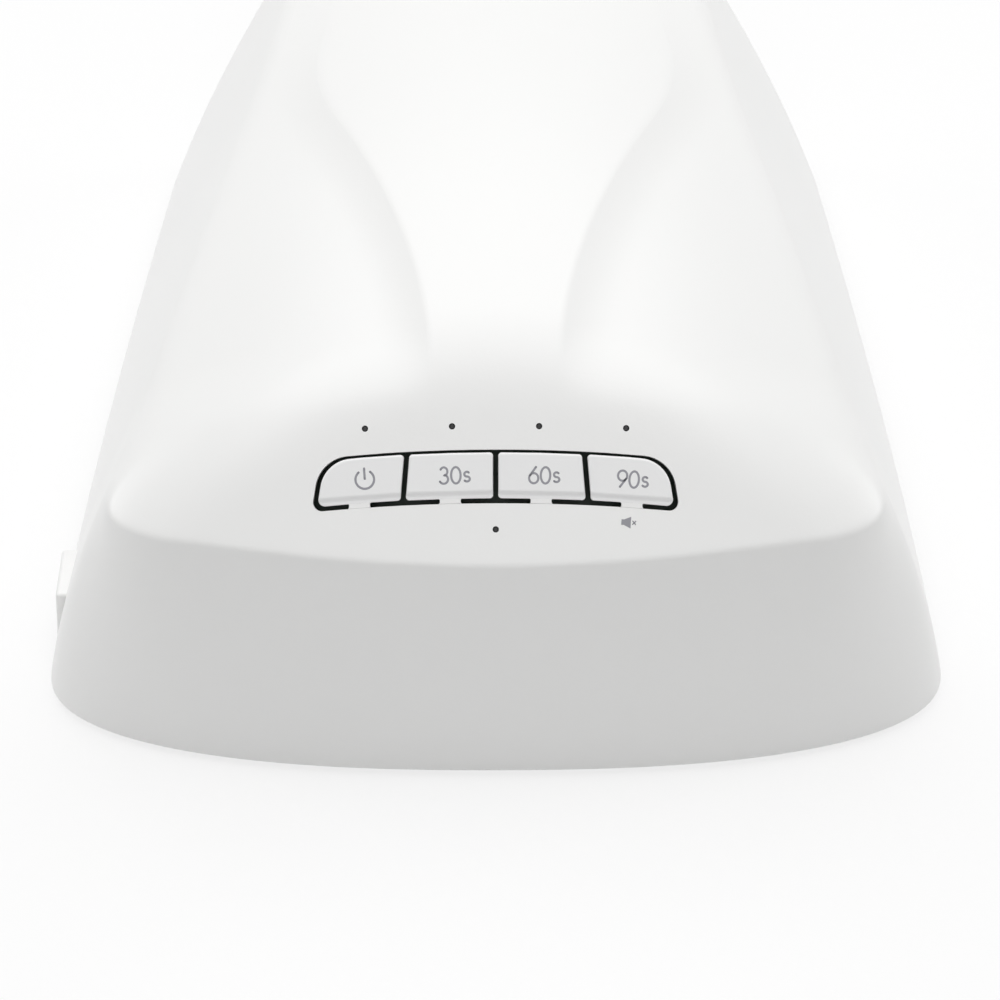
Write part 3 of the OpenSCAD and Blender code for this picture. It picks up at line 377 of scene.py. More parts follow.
def top_z(x, y):
    """Height of the top over a place in plan."""
    slope = CREASE_Z + math.tan(math.radians(SLOPE)) * (y - CREASE_Y)
    slope -= SLOPE_FALL * max(0, abs(x) - SLOPE_FLAT_X) ** 2
    crown = BODY_H - x * x / CROWN_SIDE - (y - CROWN_Y) ** 2 / CROWN_LENGTH
    past = max(0, min(1, (abs(x) - spine_x(y)) / STEP_W))
    fade = ease((y - SPINE_FRONT_Y + SPINE_LEAD) / SPINE_FADE) * (1 - ease((y - CROWN_Y) / SPINE_END))
    corner = math.hypot(abs(x) - shoulder_x(SIDE_Y0), y - SIDE_Y0)
    lower = SPINE_STEP * past * (2 - past) * fade + CORNER_DROP * ease(1 - corner / DROP_REACH)
    return soft_min(slope, crown, CROWN_BLEND) - lower


def row_at(j):
    """Place of grid row j along the top, rows being closer at both ends."""
    share = j / GRID_ROWS
    return (share + (1 - math.cos(math.pi * share)) / 2) / 2


def top_plan(r, q, front=0, side=0):
    """Place in plan of the top's point r along and q across, its border drawn in by front and side."""
    mid = CREASE_Y + front + (BACK_EDGE_Y - CREASE_Y - 2 * front) * r
    ys = SIDE_Y0 + front + (BACK_EDGE_Y - EDGE_ROUND - SIDE_Y0 - 2 * front) * r
    e = shoulder_x(ys) - side
    s, a = spine_x(mid) / e, abs(q)
    share = a * s / SPINE_Q if a < SPINE_Q else s + (a - SPINE_Q) * (1 - s) / (1 - SPINE_Q)
    x = e * math.copysign(share, q)
    turn = CORNER_RISE * (1 - ease(r / CORNER_SHARE))
    y = mid + (ys - mid - turn) * abs(q) ** (CREASE_POWER + CREASE_SQUARING * r) \
        + turn * max(0, 1 - (1 - abs(q)) / CORNER_SHARE) ** 2
    return Vector((x, y))


def on_top(plan, depth=0):
    """Point of the top surface over a place in plan, sunk by depth."""
    x, y = plan
    z = top_z(x, y)
    if depth:
        near = 0.3
        zx = (top_z(x + near, y) - top_z(x - near, y)) / (2 * near)
        zy = (top_z(x, y + near) - top_z(x, y - near)) / (2 * near)
        z -= depth * math.sqrt(1 + zx * zx + zy * zy)
    return Vector((x, y, z))


def edge_round(r):
    """Reach of the side edge's round, r along: the crease's at both ends, wide near the front corner."""
    wide = SHOULDER_ROUND + (CORNER_ROUND - SHOULDER_ROUND) * (1 - ease((r - CREASE_FADE) / CORNER_REACH))
    return CREASE_ROUND + (wide - CREASE_ROUND) * ease(r / CREASE_FADE) * ease((1 - r) / CREASE_FADE)


# Border of the top grid as (row, column), and where its corners are: front, right, rear and left side
BORDER = [(0, i) for i in range(GRID_COLS)] + [(j, GRID_COLS) for j in range(GRID_ROWS)] \
    + [(GRID_ROWS, i) for i in range(GRID_COLS, 0, -1)] + [(j, 0) for j in range(GRID_ROWS, 0, -1)]
CORNERS = [0, GRID_COLS, GRID_COLS + GRID_ROWS, 2 * GRID_COLS + GRID_ROWS]


def curve(a, b, c, t):
    """Quadratic curve that leaves a towards b and arrives at c."""
    return a * (1 - t) ** 2 + b * 2 * t * (1 - t) + c * t * t


def round_corners(border):
    """Border with each corner eased on a curve."""
    out, n = list(border), len(border)
    for c in CORNERS:
        first, mid, last = border[c - PLAN_ROUND], border[c], border[(c + PLAN_ROUND) % n]
        for s in range(1 - PLAN_ROUND, PLAN_ROUND):
            out[(c + s) % n] = curve(first, mid, last, (s + PLAN_ROUND) / (2 * PLAN_ROUND))
    return out


def corner_shift(moved, j, i):
    """Shift of a grid point that spreads the rounding of the border over the top."""
    shift = Vector((0, 0))
    for jc in (0, GRID_ROWS):
        for ic in (0, GRID_COLS):
            a, b = abs(j - jc), abs(i - ic)
            if a < BLEND and b < BLEND:
                f, g = (1 - a / BLEND) ** 2, (1 - b / BLEND) ** 2
                shift += moved[jc, i] * f + moved[j, ic] * g - moved[jc, ic] * f * g
    return shift


def top_grid(moved, inner):
    """Rows of points on the top, or one wall below it for the inside."""
    grid = []
    for j in range(GRID_ROWS + 1):
        r = row_at(j)
        front, side = (INNER_INSET, INNER_INSET) if inner else (CREASE_ROUND, edge_round(r))
        plans = [top_plan(r, 2 * i / GRID_COLS - 1, front, side) + corner_shift(moved, j, i)
                 for i in range(GRID_COLS + 1)]
        grid.append([on_top(plan, WALL if inner else 0) for plan in plans])
    return grid


def rim_loop(sharp):
    """Rim points below the border."""
    rear_half = shoulder_x(BACK_EDGE_Y - EDGE_ROUND)
    side_y0, side_y1 = bow_y(RIM_FRONT_X), CORNER_Y + BACK_CORNER * math.sin(math.radians(CORNER_SPLIT))
    rim = []
    for (j, i), e in zip(BORDER, sharp):
        if j == 0:
            x = RIM_FRONT_X * e.x / shoulder_x(SIDE_Y0)
            rim.append(Vector((x, bow_y(x), RIM_Z)))
        elif j == GRID_ROWS:
            x = rim_x(side_y1) * e.x / rear_half
            rim.append(Vector((x, rim_back_y(x), RIM_Z)))
        else:
            y = side_y0 + (side_y1 - side_y0) * row_at(j)
            rim.append(Vector((math.copysign(rim_x(y), e.x), y, RIM_Z)))
    # The points follow the rounded front corners above them, so the wall has no ridge
    for c in CORNERS[:2]:
        near = [rim[(c + s) % len(rim)] for s in range(-PLAN_ROUND, PLAN_ROUND + 1)]
        run = [0]
        for a, b in zip(near, near[1:]):
            run.append(run[-1] + (b - a).length)
        for s in range(1 - PLAN_ROUND, PLAN_ROUND):
            want = curve(0, run[PLAN_ROUND], run[-1], (s + PLAN_ROUND) / (2 * PLAN_ROUND))
            k = max(i for i in range(len(run) - 1) if run[i] <= want)
            p = near[k].lerp(near[k + 1], (want - run[k]) / (run[k + 1] - run[k]))
            rim[(c + s) % len(rim)] = Vector((p.x, bow_y(p.x), RIM_Z))
    return rim


def wall_ring(rim, edge, shares):
    """Points of the outer wall, each at its share of the way up from the rim to the edge."""
    ring, n = [], len(rim)
    for m, f in enumerate(shares):
        along = rim[(m + 1) % n] - rim[m - 1]
        out = Vector((along.y, -along.x, 0)).normalized()
        swell = FRONT_SWELL + (SIDE_SWELL - FRONT_SWELL) * out.x ** 2
        tuck = RIM_ROUND * (1 - math.sqrt(max(0, 1 - (1 - min(1, f / RIM_SHARE)) ** 2)))
        ring.append(rim[m].lerp(edge[m], f) + out * (swell * 4 * f * (1 - f) - tuck))
    return ring


def inner_ring(rim, edge, f):
    """Points of the wall's inside, one wall in from the outer ring at share f."""
    ring, n = [], len(rim)
    base = wall_ring(rim, edge, [max(RIM_SHARE, f)] * n)
    above = wall_ring(rim, edge, [min(1, f + UP_STEP)] * n)
    for m in range(n):
        across = base[(m + 1) % n] - base[m - 1]
        p = base[m] - across.cross(above[m] - base[m]).normalized() * WALL
        p.z = RIM_Z if f == 0 else max(p.z, RIM_Z + INNER_LIFT * f)
        ring.append(p)
    return ring


def quads(rows, flip=False, ring=True):
    """Faces between neighbouring rows of point numbers. A ring closes on itself."""
    faces = []
    for a, b in zip(rows, rows[1:]):
        for m in range(len(a) if ring else len(a) - 1):
            k = (m + 1) % len(a)
            q = [a[m], a[k], b[k], b[m]]
            faces.append(q[::-1] if flip else q)
    return faces


def shell_mesh():
    """Points and faces of the shell: the top, its rounded edges and the walls, outside and inside."""
    sharp = [top_plan(row_at(j), 2 * i / GRID_COLS - 1) for j, i in BORDER]
    soft = round_corners(sharp)
    moved = {at: b - a for at, a, b in zip(BORDER, sharp, soft)}
    rim, edge, n = rim_loop(sharp), [on_top(p) for p in soft], len(BORDER)
    top, under = top_grid(moved, False), top_grid(moved, True)
    outer = [wall_ring(rim, edge, [f] * n) for f in WALL_LEVELS]
    inner = [inner_ring(rim, edge, f) for f in WALL_LEVELS[:-1]]
    # The round starts below the edge and ends at the border of the top
    starts = wall_ring(rim, edge, [1 - edge_round(row_at(j)) / (e - r).length
                                   for (j, i), r, e in zip(BORDER, rim, edge)])
    for k in range(FILLET_ROWS):
        outer.append([curve(start, e, top[j][i], k / FILLET_ROWS)
                      for start, e, (j, i) in zip(starts, edge, BORDER)])
    pts = []

    def laid(rows):
        """Adds rows of points and gives their numbers."""
        numbers = []
        for row in rows:
            numbers.append(list(range(len(pts), len(pts) + len(row))))
            pts.extend(row)
        return numbers

    top, under, outer, inner = laid(top), laid(under), laid(outer), laid(inner)
    outer.append([top[j][i] for j, i in BORDER])
    inner.append([under[j][i] for j, i in BORDER])
    faces = quads(top, ring=False) + quads(under, flip=True, ring=False)
    faces += quads(outer) + quads(inner, flip=True) + quads([inner[0], outer[0]])
    return pts, faces


# Key strip
# A key's finishes: the black one and the shell's white are picked by their places in this list, and its
# top has the first. The black is painted shade on the key's sides, standing in for the shadow in its gaps
KEY_FINISHES = [KEY_ABS, GAP_SHADE_PAINT, ABS]
PAINTED_SHADE, SHELL_WHITE = 1, 2
SLOPE_FRAME = Matrix.Translation(Vector((0, CREASE_Y, CREASE_Z)) * MM) \
    @ Matrix.Rotation(math.radians(SLOPE), 4, "X")


def bow_v(u):
    """How far the key strip bows down at u across."""
    return -u * u / (2 * STRIP_BOW)


def key_u(k):
    """Middle of key k across the strip."""
    return (k + 0.5 - KEYS / 2) * PITCH


def hole_places():
    """The four indicator holes above the keys and the one below them, on the slope."""
    above = [((k + 0.5 - KEYS / 2) * HOLE_PITCH, HOLE_V + bow_v(key_u(k)) / 2) for k in range(KEYS)]
    return above + [(0, STATUS_V)]


def strip_corner(k, v):
    """Place on the slope of the strip's point k pitches from its left end, leaning in towards the top."""
    d = k - KEYS / 2
    across = d * PITCH - math.copysign(END_TRIM * max(0, abs(d) - 1), d)
    return across * (1 - LEAN * (v - STRIP_V - STRIP_H / 2)), v + bow_v(d * PITCH)


def window_outline():
    """Opening in the shell that all four keys fill."""
    low, high, g = STRIP_V - GAP / 2, STRIP_V + STRIP_H + TOP_GAP / 2, GAP / 2
    steps = [k / 4 for k in range(4 * KEYS + 1)]
    a = [strip_corner(k, low) for k in steps]
    b = [strip_corner(k, high) for k in reversed(steps)]
    a[0] = (a[0][0] - g, a[0][1])
    a[-1] = (a[-1][0] + g, a[-1][1])
    b[0] = (b[0][0] + g, b[0][1])
    b[-1] = (b[-1][0] - g, b[-1][1])
    # The end corners reach over several short chords, so those chords are left out of the outline
    b = [b[0]] + b[3:-3] + [b[-1]]
    foot, end = [0] * (len(a) - 2), [0] * (len(b) - 2)
    return rounded(a + b, [FOOT_CORNER, *foot, FOOT_CORNER, END_CORNER, *end, END_CORNER])


def pad_outline(k):
    """Outline of key k, inside its gaps."""
    g = GAP / 2
    low, high = STRIP_V + g, STRIP_V + STRIP_H - TOP_GAP / 2
    a, b, c = strip_corner(k, low), strip_corner(k + 0.5, low), strip_corner(k + 1, low)
    d, e, f = strip_corner(k + 1, high), strip_corner(k + 0.5, high), strip_corner(k, high)
    pts = [(a[0] + g, a[1]), b, (c[0] - g, c[1]), (d[0] - g, d[1]), e, (f[0] + g, f[1])]
    foot, end = FOOT_CORNER - g, END_CORNER - g
    first, last = k == 0, k == KEYS - 1
    return rounded(pts, [foot if first else PAD_CORNER, 0, foot if last else PAD_CORNER,
                         end if last else PAD_CORNER, 0, end if first else PAD_CORNER])


def edge_distance(p, outline):
    """Shortest distance from a point to the outline."""
    best = math.inf
    for a, b in zip(outline, outline[1:] + outline[:1]):
        dx, dy = b[0] - a[0], b[1] - a[1]
        n = dx * dx + dy * dy
        t = 0 if n == 0 else max(0, min(1, ((p[0] - a[0]) * dx + (p[1] - a[1]) * dy) / n))
        best = min(best, math.hypot(p[0] - a[0] - t * dx, p[1] - a[1] - t * dy))
    return best


def inward(outline, d):
    """Outline moved in by d."""
    out = []
    n = len(outline)
    for k, p in enumerate(outline):
        a, b = outline[k - 1], outline[(k + 1) % n]
        t = unit2(b[0] - a[0], b[1] - a[1])
        out.append((p[0] - t[1] * d, p[1] + t[0] * d))
    return out


def split(bm, place, normal):
    """Cuts the mesh along a plane, so that a bend there gets edges of its own."""
    bmesh.ops.bisect_plane(bm, geom=bm.verts[:] + bm.edges[:] + bm.faces[:], dist=1e-5,
                           plane_co=Vector(place), plane_no=Vector(normal))


def pad_top(bm, k):
    """Raised top of a key: rounded rim, ramp down to its foot, and flat where the tongue leaves it."""
    outline, u0 = pad_outline(k), key_u(k)
    tilt = -u0 / STRIP_BOW
    foot = STRIP_V + GAP / 2 + bow_v(u0)
    rings = [[bm.verts.new((*p, 0)) for p in inward(outline, d)] for d in PAD_RINGS]
    n = len(outline)
    for a, b in zip(rings, rings[1:]):
        for m in range(n):
            bm.faces.new([a[m], a[(m + 1) % n], b[(m + 1) % n], b[m]])
    bm.faces.new(rings[-1])
    for s in range(RAMP_STEPS + 1):
        split(bm, (u0, foot + FOOT_FLAT + FOOT_RAMP * s / RAMP_STEPS, 0), (-tilt, 1, 0))
    for side in (-TONGUE_W / 2 - TONGUE_SIDE, -TONGUE_W / 2, TONGUE_W / 2, TONGUE_W / 2 + TONGUE_SIDE):
        split(bm, (u0 + side, 0, 0), (1, 0, 0))
    for vert in bm.verts:
        u, v = vert.co.x, vert.co.y
        if abs(u - u0) < TONGUE_W / 2 + HAIR and v < foot + FOOT_FLAT:
            vert.co.z = 0
            continue
        rise = ease((v - foot - tilt * (u - u0) - FOOT_FLAT) / FOOT_RAMP)
        d = min(PAD_ROUND, edge_distance((u, v), outline))
        sunk = PAD_SUNK * (1 - min(1, d / PAD_SUNK))
        vert.co.z = PROUD * rise * math.sqrt(1 - (1 - d / PAD_ROUND) ** 2) - sunk


def pad_skirt(bm):
    """Side walls and bottom of a key, black as painted shade of its gaps."""
    rim = [e for e in bm.edges if e.is_boundary]
    for made in bmesh.ops.extrude_edge_only(bm, edges=rim)["geom"]:
        if isinstance(made, bmesh.types.BMVert):
            made.co.z = -WALL
        elif isinstance(made, bmesh.types.BMFace):
            made.material_index = PAINTED_SHADE
    rim = [e for e in bm.edges if e.is_boundary]
    for face in bmesh.ops.contextual_create(bm, geom=rim)["faces"]:
        face.material_index = PAINTED_SHADE


def add_solid(bm, pts, faces, finish):
    """Adds a closed solid in one of the key's finishes."""
    verts = [bm.verts.new(p) for p in pts]
    for f in faces:
        bm.faces.new([verts[i] for i in f]).material_index = finish


def pad_tongue(bm, k):
    """Tongue flush with the shell and the key's foot, with small fillets where it leaves the key."""
    u0, v0 = key_u(k), STRIP_V - GAP / 2 + bow_v(key_u(k))
    low, high = v0 + TONGUE_GAP, v0 + GAP
    left, right = u0 - TONGUE_W / 2, u0 + TONGUE_W / 2
    lean = -u0 / STRIP_BOW * TONGUE_W / 2
    plan = [(left, low - lean), (right, low + lean), (right, high + lean), (left, high - lean)]
    add_solid(bm, *prism(plan, -TONGUE_T, 0), SHELL_WHITE)
    for s in (-1, 1):
        u, v = u0 + s * (TONGUE_W / 2 - FILLET_LAP), high + FILLET_SUNK + s * lean
        add_solid(bm, *fillet_corner(u, v, s, -1), SHELL_WHITE)


def pad_stem(bm, k):
    """Stem under a key that reaches down to its plunger."""
    pts, faces = turned([(0, -STEM_REACH), (STEM_R - STEM_BEVEL, -STEM_REACH),
                         (STEM_R, STEM_BEVEL - STEM_REACH), (STEM_R, -WALL), (0, -WALL)])
    add_solid(bm, [(x + key_u(k), y + STEM_V, z) for x, y, z in pts], faces, PAINTED_SHADE)


def key_pad(k, name):
    """One key with its skirt, tongue and stem, riding on its lever."""
    bm = bmesh.new()
    pad_top(bm, k)
    pad_skirt(bm)
    pad_tongue(bm, k)
    pad_stem(bm, k)
    bmesh.ops.recalc_face_normals(bm, faces=bm.faces)
    bmesh.ops.scale(bm, vec=(MM, MM, MM), verts=bm.verts)
    mesh = bpy.data.meshes.new(name)
    bm.to_mesh(mesh)
    bm.free()
    mesh.transform(SLOPE_FRAME)
    obj = bpy.data.objects.new(name, mesh)
    bpy.context.scene.collection.objects.link(obj)
    for finish in KEY_FINISHES:
        mesh.materials.append(finish)
    shade(obj, PAD_SHARP)
    apply(obj, "WEIGHTED_NORMAL", keep_sharp=True, weight=80)
    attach(obj, KEY_BODIES[k])
    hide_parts(KEY_NODES[k])


def turning(outline):
    """Twice the area inside an outline, above 0 if it runs counter-clockwise."""
    return sum(p[0] * q[1] - q[0] * p[1] for p, q in zip(outline, outline[1:] + outline[:1]))


def fillet_corner(u, v, du, dv):
    """Small concave corner piece with its legs from (u, v) along du and dv."""
    angles = [math.pi / 12 * s for s in range(7)]
    outline = [(u, v)]
    for t in angles:
        outline.append((u + du * FILLET_R * (1 - math.sin(t)), v + dv * FILLET_R * (1 - math.cos(t))))
    return prism(outline if turning(outline) > 0 else outline[::-1], -FILLET_T, 0)


# Shell with its openings, and the inlet
def on_slope(name, pts, faces, mat=GAP_SHADE_PAINT):
    """Helper object on the key slope, which rides on nothing because it is used up."""
    return build(name, pts, faces, mat, None, place=SLOPE_FRAME)


def opening_outline():
    """Hand opening in the rear wall: the chamber's arch, smaller by a lip."""
    a, b = CHAMBER_W / 2 - OPENING_LIP, CHAMBER_ROOF_W / 2 - OPENING_LIP
    low, top, r = LINER_Z - OPENING_SILL, CHAMBER_H - OPENING_LIP, CHAMBER_CORNER - OPENING_LIP
    return rounded([(-a, low), (a, low), (b, top), (-b, top)], [0, 0, r, r])


def along_y(outline, y0, y1):
    """Prism over an XZ outline, from y0 to y1."""
    pts, faces = prism(outline, -y1, -y0)
    return [(x, -z, y) for x, y, z in pts], faces


def bore_cutter():
    """Round bar that opens the wall and the housing for the jack."""
    r, reach = BORE_D / 2, BORE_REACH
    pts, faces = turned([(0, -reach), (r, -reach), (r, reach), (0, reach)], 48)
    pts = [(BORE_X + z, INLET_Y + x, JACK_Z + y) for x, y, z in pts]
    return build("bore", pts, faces, DARK_PLASTIC, None)


def make_shell():
    """White shell with the key window, indicator holes, hand opening, tray slot and jack bore."""
    pts, faces = shell_mesh()
    shell = build("shell_skin", pts, faces, ABS)
    # The window and hole cutters are black, and the walls they cut keep that black: painted shade inside
    # the gaps and holes
    cutters = [on_slope("window", *prism(window_outline(), -CUT_BELOW, CUT_ABOVE))]
    r = HOLE_D / 2
    drill, f = turned([(0, -CUT_BELOW), (r, -CUT_BELOW), (r, CUT_ABOVE), (0, CUT_ABOVE)], 32)
    for u, v in hole_places():
        cutters.append(on_slope("hole", [(x + u, y + v, z) for x, y, z in drill], f))
    half = TRAY_W / 2 + TRAY_GAP
    slot = [(-half, 0), (half, 0), (half, GROOVE_TOP), (-half, GROOVE_TOP)]
    for name, outline in (("opening", opening_outline()), ("slot", slot)):
        cutters.append(build(name, *along_y(outline, LINER_FRONT, Y_BACK + PAST_BACK), ABS, None))
    cutters.append(bore_cutter())
    cut(shell, cutters)
    # Small fillets of the window's lower edge, beside each tongue
    for k in range(KEYS):
        v0 = STRIP_V - GAP / 2 + bow_v(key_u(k))
        for s in (-1, 1):
            lean = -s * key_u(k) / STRIP_BOW * TONGUE_W / 2
            u, v = key_u(k) + s * (TONGUE_W / 2 + TONGUE_GAP), v0 - FILLET_SUNK + lean
            join(shell, on_slope("corner", *fillet_corner(u, v, s, 1), ABS))
    shade(shell, SHELL_SHARP)
    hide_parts("top_shell")


def join(obj, other):
    """Adds the other object's mesh to obj, keeping obj's first material."""
    bm = bmesh.new()
    bm.from_mesh(obj.data)
    bm.from_mesh(other.data)
    bm.to_mesh(obj.data)
    bm.free()
    bpy.data.objects.remove(other)


def make_inlet():
    """Squared housing of the power inlet on the left wall, its outer face drafted."""
    y0, y1, z0, z1 = INLET_Y - INLET_LEN / 2, INLET_Y + INLET_LEN / 2, RIM_Z, RIM_Z + INLET_H
    side = [(INLET_FACE_LOW, z0), (INLET_BACK, z0), (INLET_BACK, z1), (INLET_FACE_HIGH, z1)]
    housing = build("inlet_housing", *along_y(side, y0, y1), ABS)
    apply(housing, "BEVEL", width=INLET_ROUND * MM, segments=4, limit_method="ANGLE",
          angle_limit=math.radians(BEVEL_FROM))
    cut(housing, [bore_cutter()])
    shade(housing, SHELL_SHARP)


make_shell()
make_inlet()
for k, name in enumerate(("power_pad", "pad_30s", "pad_60s", "pad_90s")):
    key_pad(k, name)


# Printed marks
def stroke(points, width, closed=False):
    """Flat stroke of constant width along a polyline, as quads, with round ends where it is open."""
    n = len(points)
    left, right = [], []
    for k, p in enumerate(points):
        a = points[k - 1] if k or closed else points[0]
        b = points[(k + 1) % n] if k < n - 1 or closed else points[-1]
        t = unit2(b[0] - a[0], b[1] - a[1])
        left.append((p[0] - t[1] * width / 2, p[1] + t[0] * width / 2))
        right.append((p[0] + t[1] * width / 2, p[1] - t[0] * width / 2))
    lengths = range(n if closed else n - 1)
    polys = [[right[k], right[(k + 1) % n], left[(k + 1) % n], left[k]] for k in lengths]
    if not closed:
        polys += [arc(*p, width / 2, width / 2, 0, 330, 30) for p in (points[0], points[-1])]
    return polys


def arc(cx, cy, rx, ry, start, end, step=12):
    """Points of an elliptic arc, its angles in degrees."""
    n = max(2, round(abs(end - start) / step))
    return [(cx + rx * math.cos(math.radians(start + (end - start) * k / n)),
             cy + ry * math.sin(math.radians(start + (end - start) * k / n))) for k in range(n + 1)]


def glyph(char):
    """Strokes of a digit or an s as drawn in mm, each with whether it is closed, and the advance."""
    h = CAP
    if char == "0":
        return [(arc(1.1, h / 2, 0.95, h / 2, 90, 450), True)], 2.55
    if char == "3":
        upper = arc(0.8, h * 0.745, 0.72, h * 0.255, 150, -90)
        lower = arc(0.75, h * 0.27, 0.88, h * 0.27, 90, -150)
        return [(upper + lower[1:], False)], 2.1
    if char == "6":
        return [(arc(1.05, h * 0.31, 0.92, h * 0.31, 0, 360), True),
                ([(1.45, h), (0.28, h * 0.47)], False)], 2.3
    if char == "9":
        return [(arc(1.05, h * 0.69, 0.92, h * 0.31, 0, 360), True),
                ([(0.65, 0), (1.82, h * 0.53)], False)], 2.3
    top = arc(0.75, h * 0.555, 0.5, h * 0.145, 40, 270)
    low = arc(0.75, h * 0.265 - 0.02, 0.58, h * 0.15, 90, -140)
    return [(top + low[1:], False)], 1.6


def word(text):
    """Flat polygons of a word, centred on its own middle."""
    polys, x = [], 0
    for c in text:
        strokes, wide = glyph(c)
        for pts, closed in strokes:
            pts = pts[:-1] if closed else pts
            pts = [((px + x) * SPREAD, py) for px, py in pts]
            polys += stroke(pts, INK_W, closed)
        x += wide
    xs = [p[0] for q in polys for p in q]
    mid = (min(xs) + max(xs)) / 2
    return [[(px - mid, py - CAP / 2) for px, py in q] for q in polys]


def print_on(name, polys, u, v, w, body):
    """Ink laid on the slope at (u, v), w above it and turned with the bow of the strip."""
    t = math.atan(-u / STRIP_BOW)
    c, s = math.cos(t), math.sin(t)
    pts, faces = [], []
    for q in polys:
        q = q if turning(q) > 0 else q[::-1]
        faces.append(list(range(len(pts), len(pts) + len(q))))
        pts += [(u + x * c - y * s, v + x * s + y * c, w) for x, y in q]
    return build(name, pts, faces, INK, body, place=SLOPE_FRAME)


def power_sign():
    """Open ring with a bar standing in its gap."""
    ring = arc(0, 0, RING_R, RING_R, RING_START, RING_END, 8)
    return stroke(ring, RING_W) + stroke([(0, BAR_FOOT), (0, RING_R + BAR_PAST)], RING_W)


def mute_sign():
    """Speaker's box and horn, with a small cross beside it."""
    box = [(BOX_X, -BOX_Y), (HORN_X, -BOX_Y), (HORN_X, BOX_Y), (BOX_X, BOX_Y)]
    horn = [(HORN_X, -BOX_Y), (MOUTH_X, -MOUTH_Y), (MOUTH_X, MOUTH_Y), (HORN_X, BOX_Y)]
    cross = [stroke([(CROSS_X0, -s * CROSS_Y), (CROSS_X1, s * CROSS_Y)], CROSS_W) for s in (1, -1)]
    return [box, horn] + cross[0] + cross[1]


marks = (("power_mark", power_sign(), POWER_U), ("mark_30s", word("30s"), MARK_30_U),
         ("mark_60s", word("60s"), MARK_60_U), ("mark_90s", word("90s"), MARK_90_U))
for k, (name, polys, u) in enumerate(marks):
    print_on(name, polys, u, MARK_V + bow_v(u), PROUD + INK_LIFT, KEY_BODIES[k])
print_on("mute_mark", mute_sign(), MUTE_U, MUTE_V, INK_LIFT, LAMP)


# Light guides
def make_guides():
    """Smoked pins that end just inside the five indicator holes."""
    pts, faces = [], []
    r = HOLE_D / 2 - GUIDE_GAP
    wide = r + COLLAR_EDGE
    tip = [(r, -TIP_EDGE), (r * 0.8, -TIP_MID), (r * 0.4, -TIP_NEAR), (0, -TIP_TOP)]
    profile = [(0, -GUIDE_FOOT), (r, -GUIDE_FOOT), (r, -COLLAR_LOW), (wide, -COLLAR_LOW),
               (wide, -COLLAR_HIGH), (r, -COLLAR_HIGH), *tip]
    p, f = turned(profile)
    for u, v in hole_places():
        faces += [[i + len(pts) for i in q] for q in f]
        pts += [(x + u, y + v, z) for x, y, z in p]
    guides = build("guide_pins", pts, faces, SMOKED, place=SLOPE_FRAME)
    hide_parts("light_guides")


make_guides()

# Finishes of the remaining CAD nodes
FINISH = {
    "power_plunger": DARK_PLASTIC, "plunger_30s": DARK_PLASTIC, "plunger_60s": DARK_PLASTIC,
    "plunger_90s": DARK_PLASTIC, "switch_housings": DARK_PLASTIC, "timer_chip": DARK_PLASTIC,
    "sounder": DARK_PLASTIC, "hand_sensor": DARK_PLASTIC, "dc_jack": DARK_PLASTIC,
    "control_board": MASK_GREEN, "roof_board": MASK_WHITE, "left_board": MASK_WHITE,
    "right_board": MASK_WHITE, "end_board": MASK_WHITE, "indicator_leds": MASK_WHITE,
    "roof_leds": LENS_EPOXY, "left_leds": LENS_EPOXY, "right_leds": LENS_EPOXY, "end_leds": LENS_EPOXY,
    "board_screws": ZINC, "case_screws": ZINC, "liner_screws": ZINC,
    "reflector_liner": MIRROR, "floor_tray": TRAY_MIRROR, "base_frame": FRAME_ABS,
    "tray_catches": STEEL, "frame_magnets": STEEL, "rubber_feet": RUBBER,
    "led_ribbon": RIBBON, "jack_lead": SLEEVE,
}
for name, finish in FINISH.items():
    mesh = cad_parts[name].data
    mesh.materials.clear()
    mesh.materials.append(finish)


# Studio
# Soft boxes: place in metres, side in metres, power in watts
SOFT_BOXES = {
    "overhead": ((0, 0.38, 1.6), 1.8, 22.5),
    "left_box": ((-1.2, 0.2, 0.6), 0.5, 3),
    "right_box": ((1.2, 0.2, 0.6), 0.5, 3),
    "front_box": ((0, -1.6, 0.9), 1.4, 5.5),
    "rear_box": ((0, 1.5, 0.35), 0.9, 0.9),
}
LAMP_AIM = (0, 0, 0.05)


def seen_white(tree):
    """1 for the rays that show the background: the camera's, and those off metal and through glass."""
    path = put(tree, "ShaderNodeLightPath")
    seen = path.outputs["Is Camera Ray"]
    for kind in ("Is Glossy Ray", "Is Transmission Ray"):
        either = put(tree, "ShaderNodeMath", links={0: seen, 1: path.outputs[kind]}, operation="MAXIMUM")
        seen = either.outputs[0]
    return seen


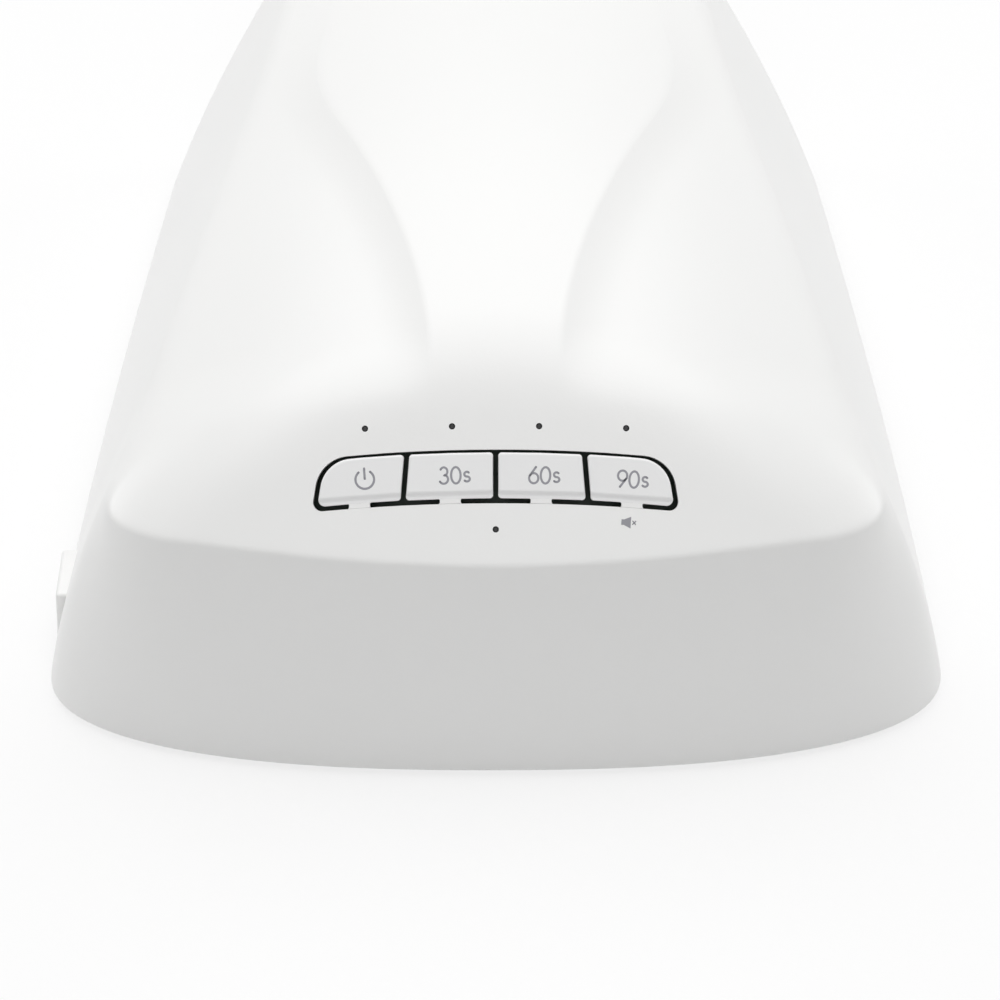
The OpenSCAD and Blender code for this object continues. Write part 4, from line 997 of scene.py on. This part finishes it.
def studio():
    """Pale floor that lightens for the camera, white world behind it, and the soft boxes."""
    m = bpy.data.materials.new("studio_floor")
    m.use_nodes = True
    t = m.node_tree
    t.nodes.clear()
    share = put(t, "ShaderNodeMath", {1: FLOOR_GLOW}, {0: seen_white(t)}, operation="MULTIPLY")
    skin = put(t, "ShaderNodeBsdfDiffuse", {"Color": linear("FAFAFA")})
    glow = put(t, "ShaderNodeEmission", {"Color": (1, 1, 1, 1), "Strength": 1})
    mix = put(t, "ShaderNodeMixShader",
              links={0: share.outputs[0], 1: skin.outputs[0], 2: glow.outputs[0]})
    put(t, "ShaderNodeOutputMaterial", links={"Surface": mix.outputs[0]})
    a = FLOOR_SIZE
    floor = build("floor", [(-a, -a, 0), (a, -a, 0), (a, a, 0), (-a, a, 0)], [[0, 1, 2, 3]], m, None)
    world = bpy.data.worlds.new("studio")
    bpy.context.scene.world = world
    world.use_nodes = True
    t = world.node_tree
    t.nodes.clear()
    dim = put(t, "ShaderNodeBackground", {"Color": (1, 1, 1, 1), "Strength": WORLD_GLOW})
    white = put(t, "ShaderNodeBackground", {"Color": (1, 1, 1, 1), "Strength": 1})
    mix = put(t, "ShaderNodeMixShader", links={0: seen_white(t), 1: dim.outputs[0], 2: white.outputs[0]})
    put(t, "ShaderNodeOutputWorld", links={"Surface": mix.outputs[0]})
    for name, (where, size, power) in SOFT_BOXES.items():
        data = bpy.data.lights.new(name, "AREA")
        data.shape = "SQUARE"
        data.size = size
        data.energy = power
        lamp = bpy.data.objects.new(name, data)
        bpy.context.scene.collection.objects.link(lamp)
        lamp.location = where
        lamp.rotation_euler = (Vector(LAMP_AIM) - Vector(where)).to_track_quat("-Z", "Y").to_euler()
        lamp.visible_camera = False


def photo_camera():
    """Camera that sees the lamp as the photograph does."""
    data = bpy.data.cameras.new("camera")
    cam = bpy.data.objects.new("camera", data)
    bpy.context.scene.collection.objects.link(cam)
    bpy.context.scene.camera = cam
    e = math.radians(ELEVATION)
    back = Vector((0, -math.cos(e), math.sin(e)))
    cam.location = (Vector(AIM) + back * DISTANCE) * MM
    turn = (-back).to_track_quat("-Z", "Y") @ Matrix.Rotation(math.radians(-ROLL), 3, "Z").to_quaternion()
    cam.rotation_mode = "QUATERNION"
    cam.rotation_quaternion = turn
    data.lens, data.sensor_width, data.shift_x = LENS, SENSOR, SHIFT_X
    data.clip_start, data.clip_end = 0.01, 20


studio()
photo_camera()
bpy.context.scene.view_settings.view_transform = "Standard"
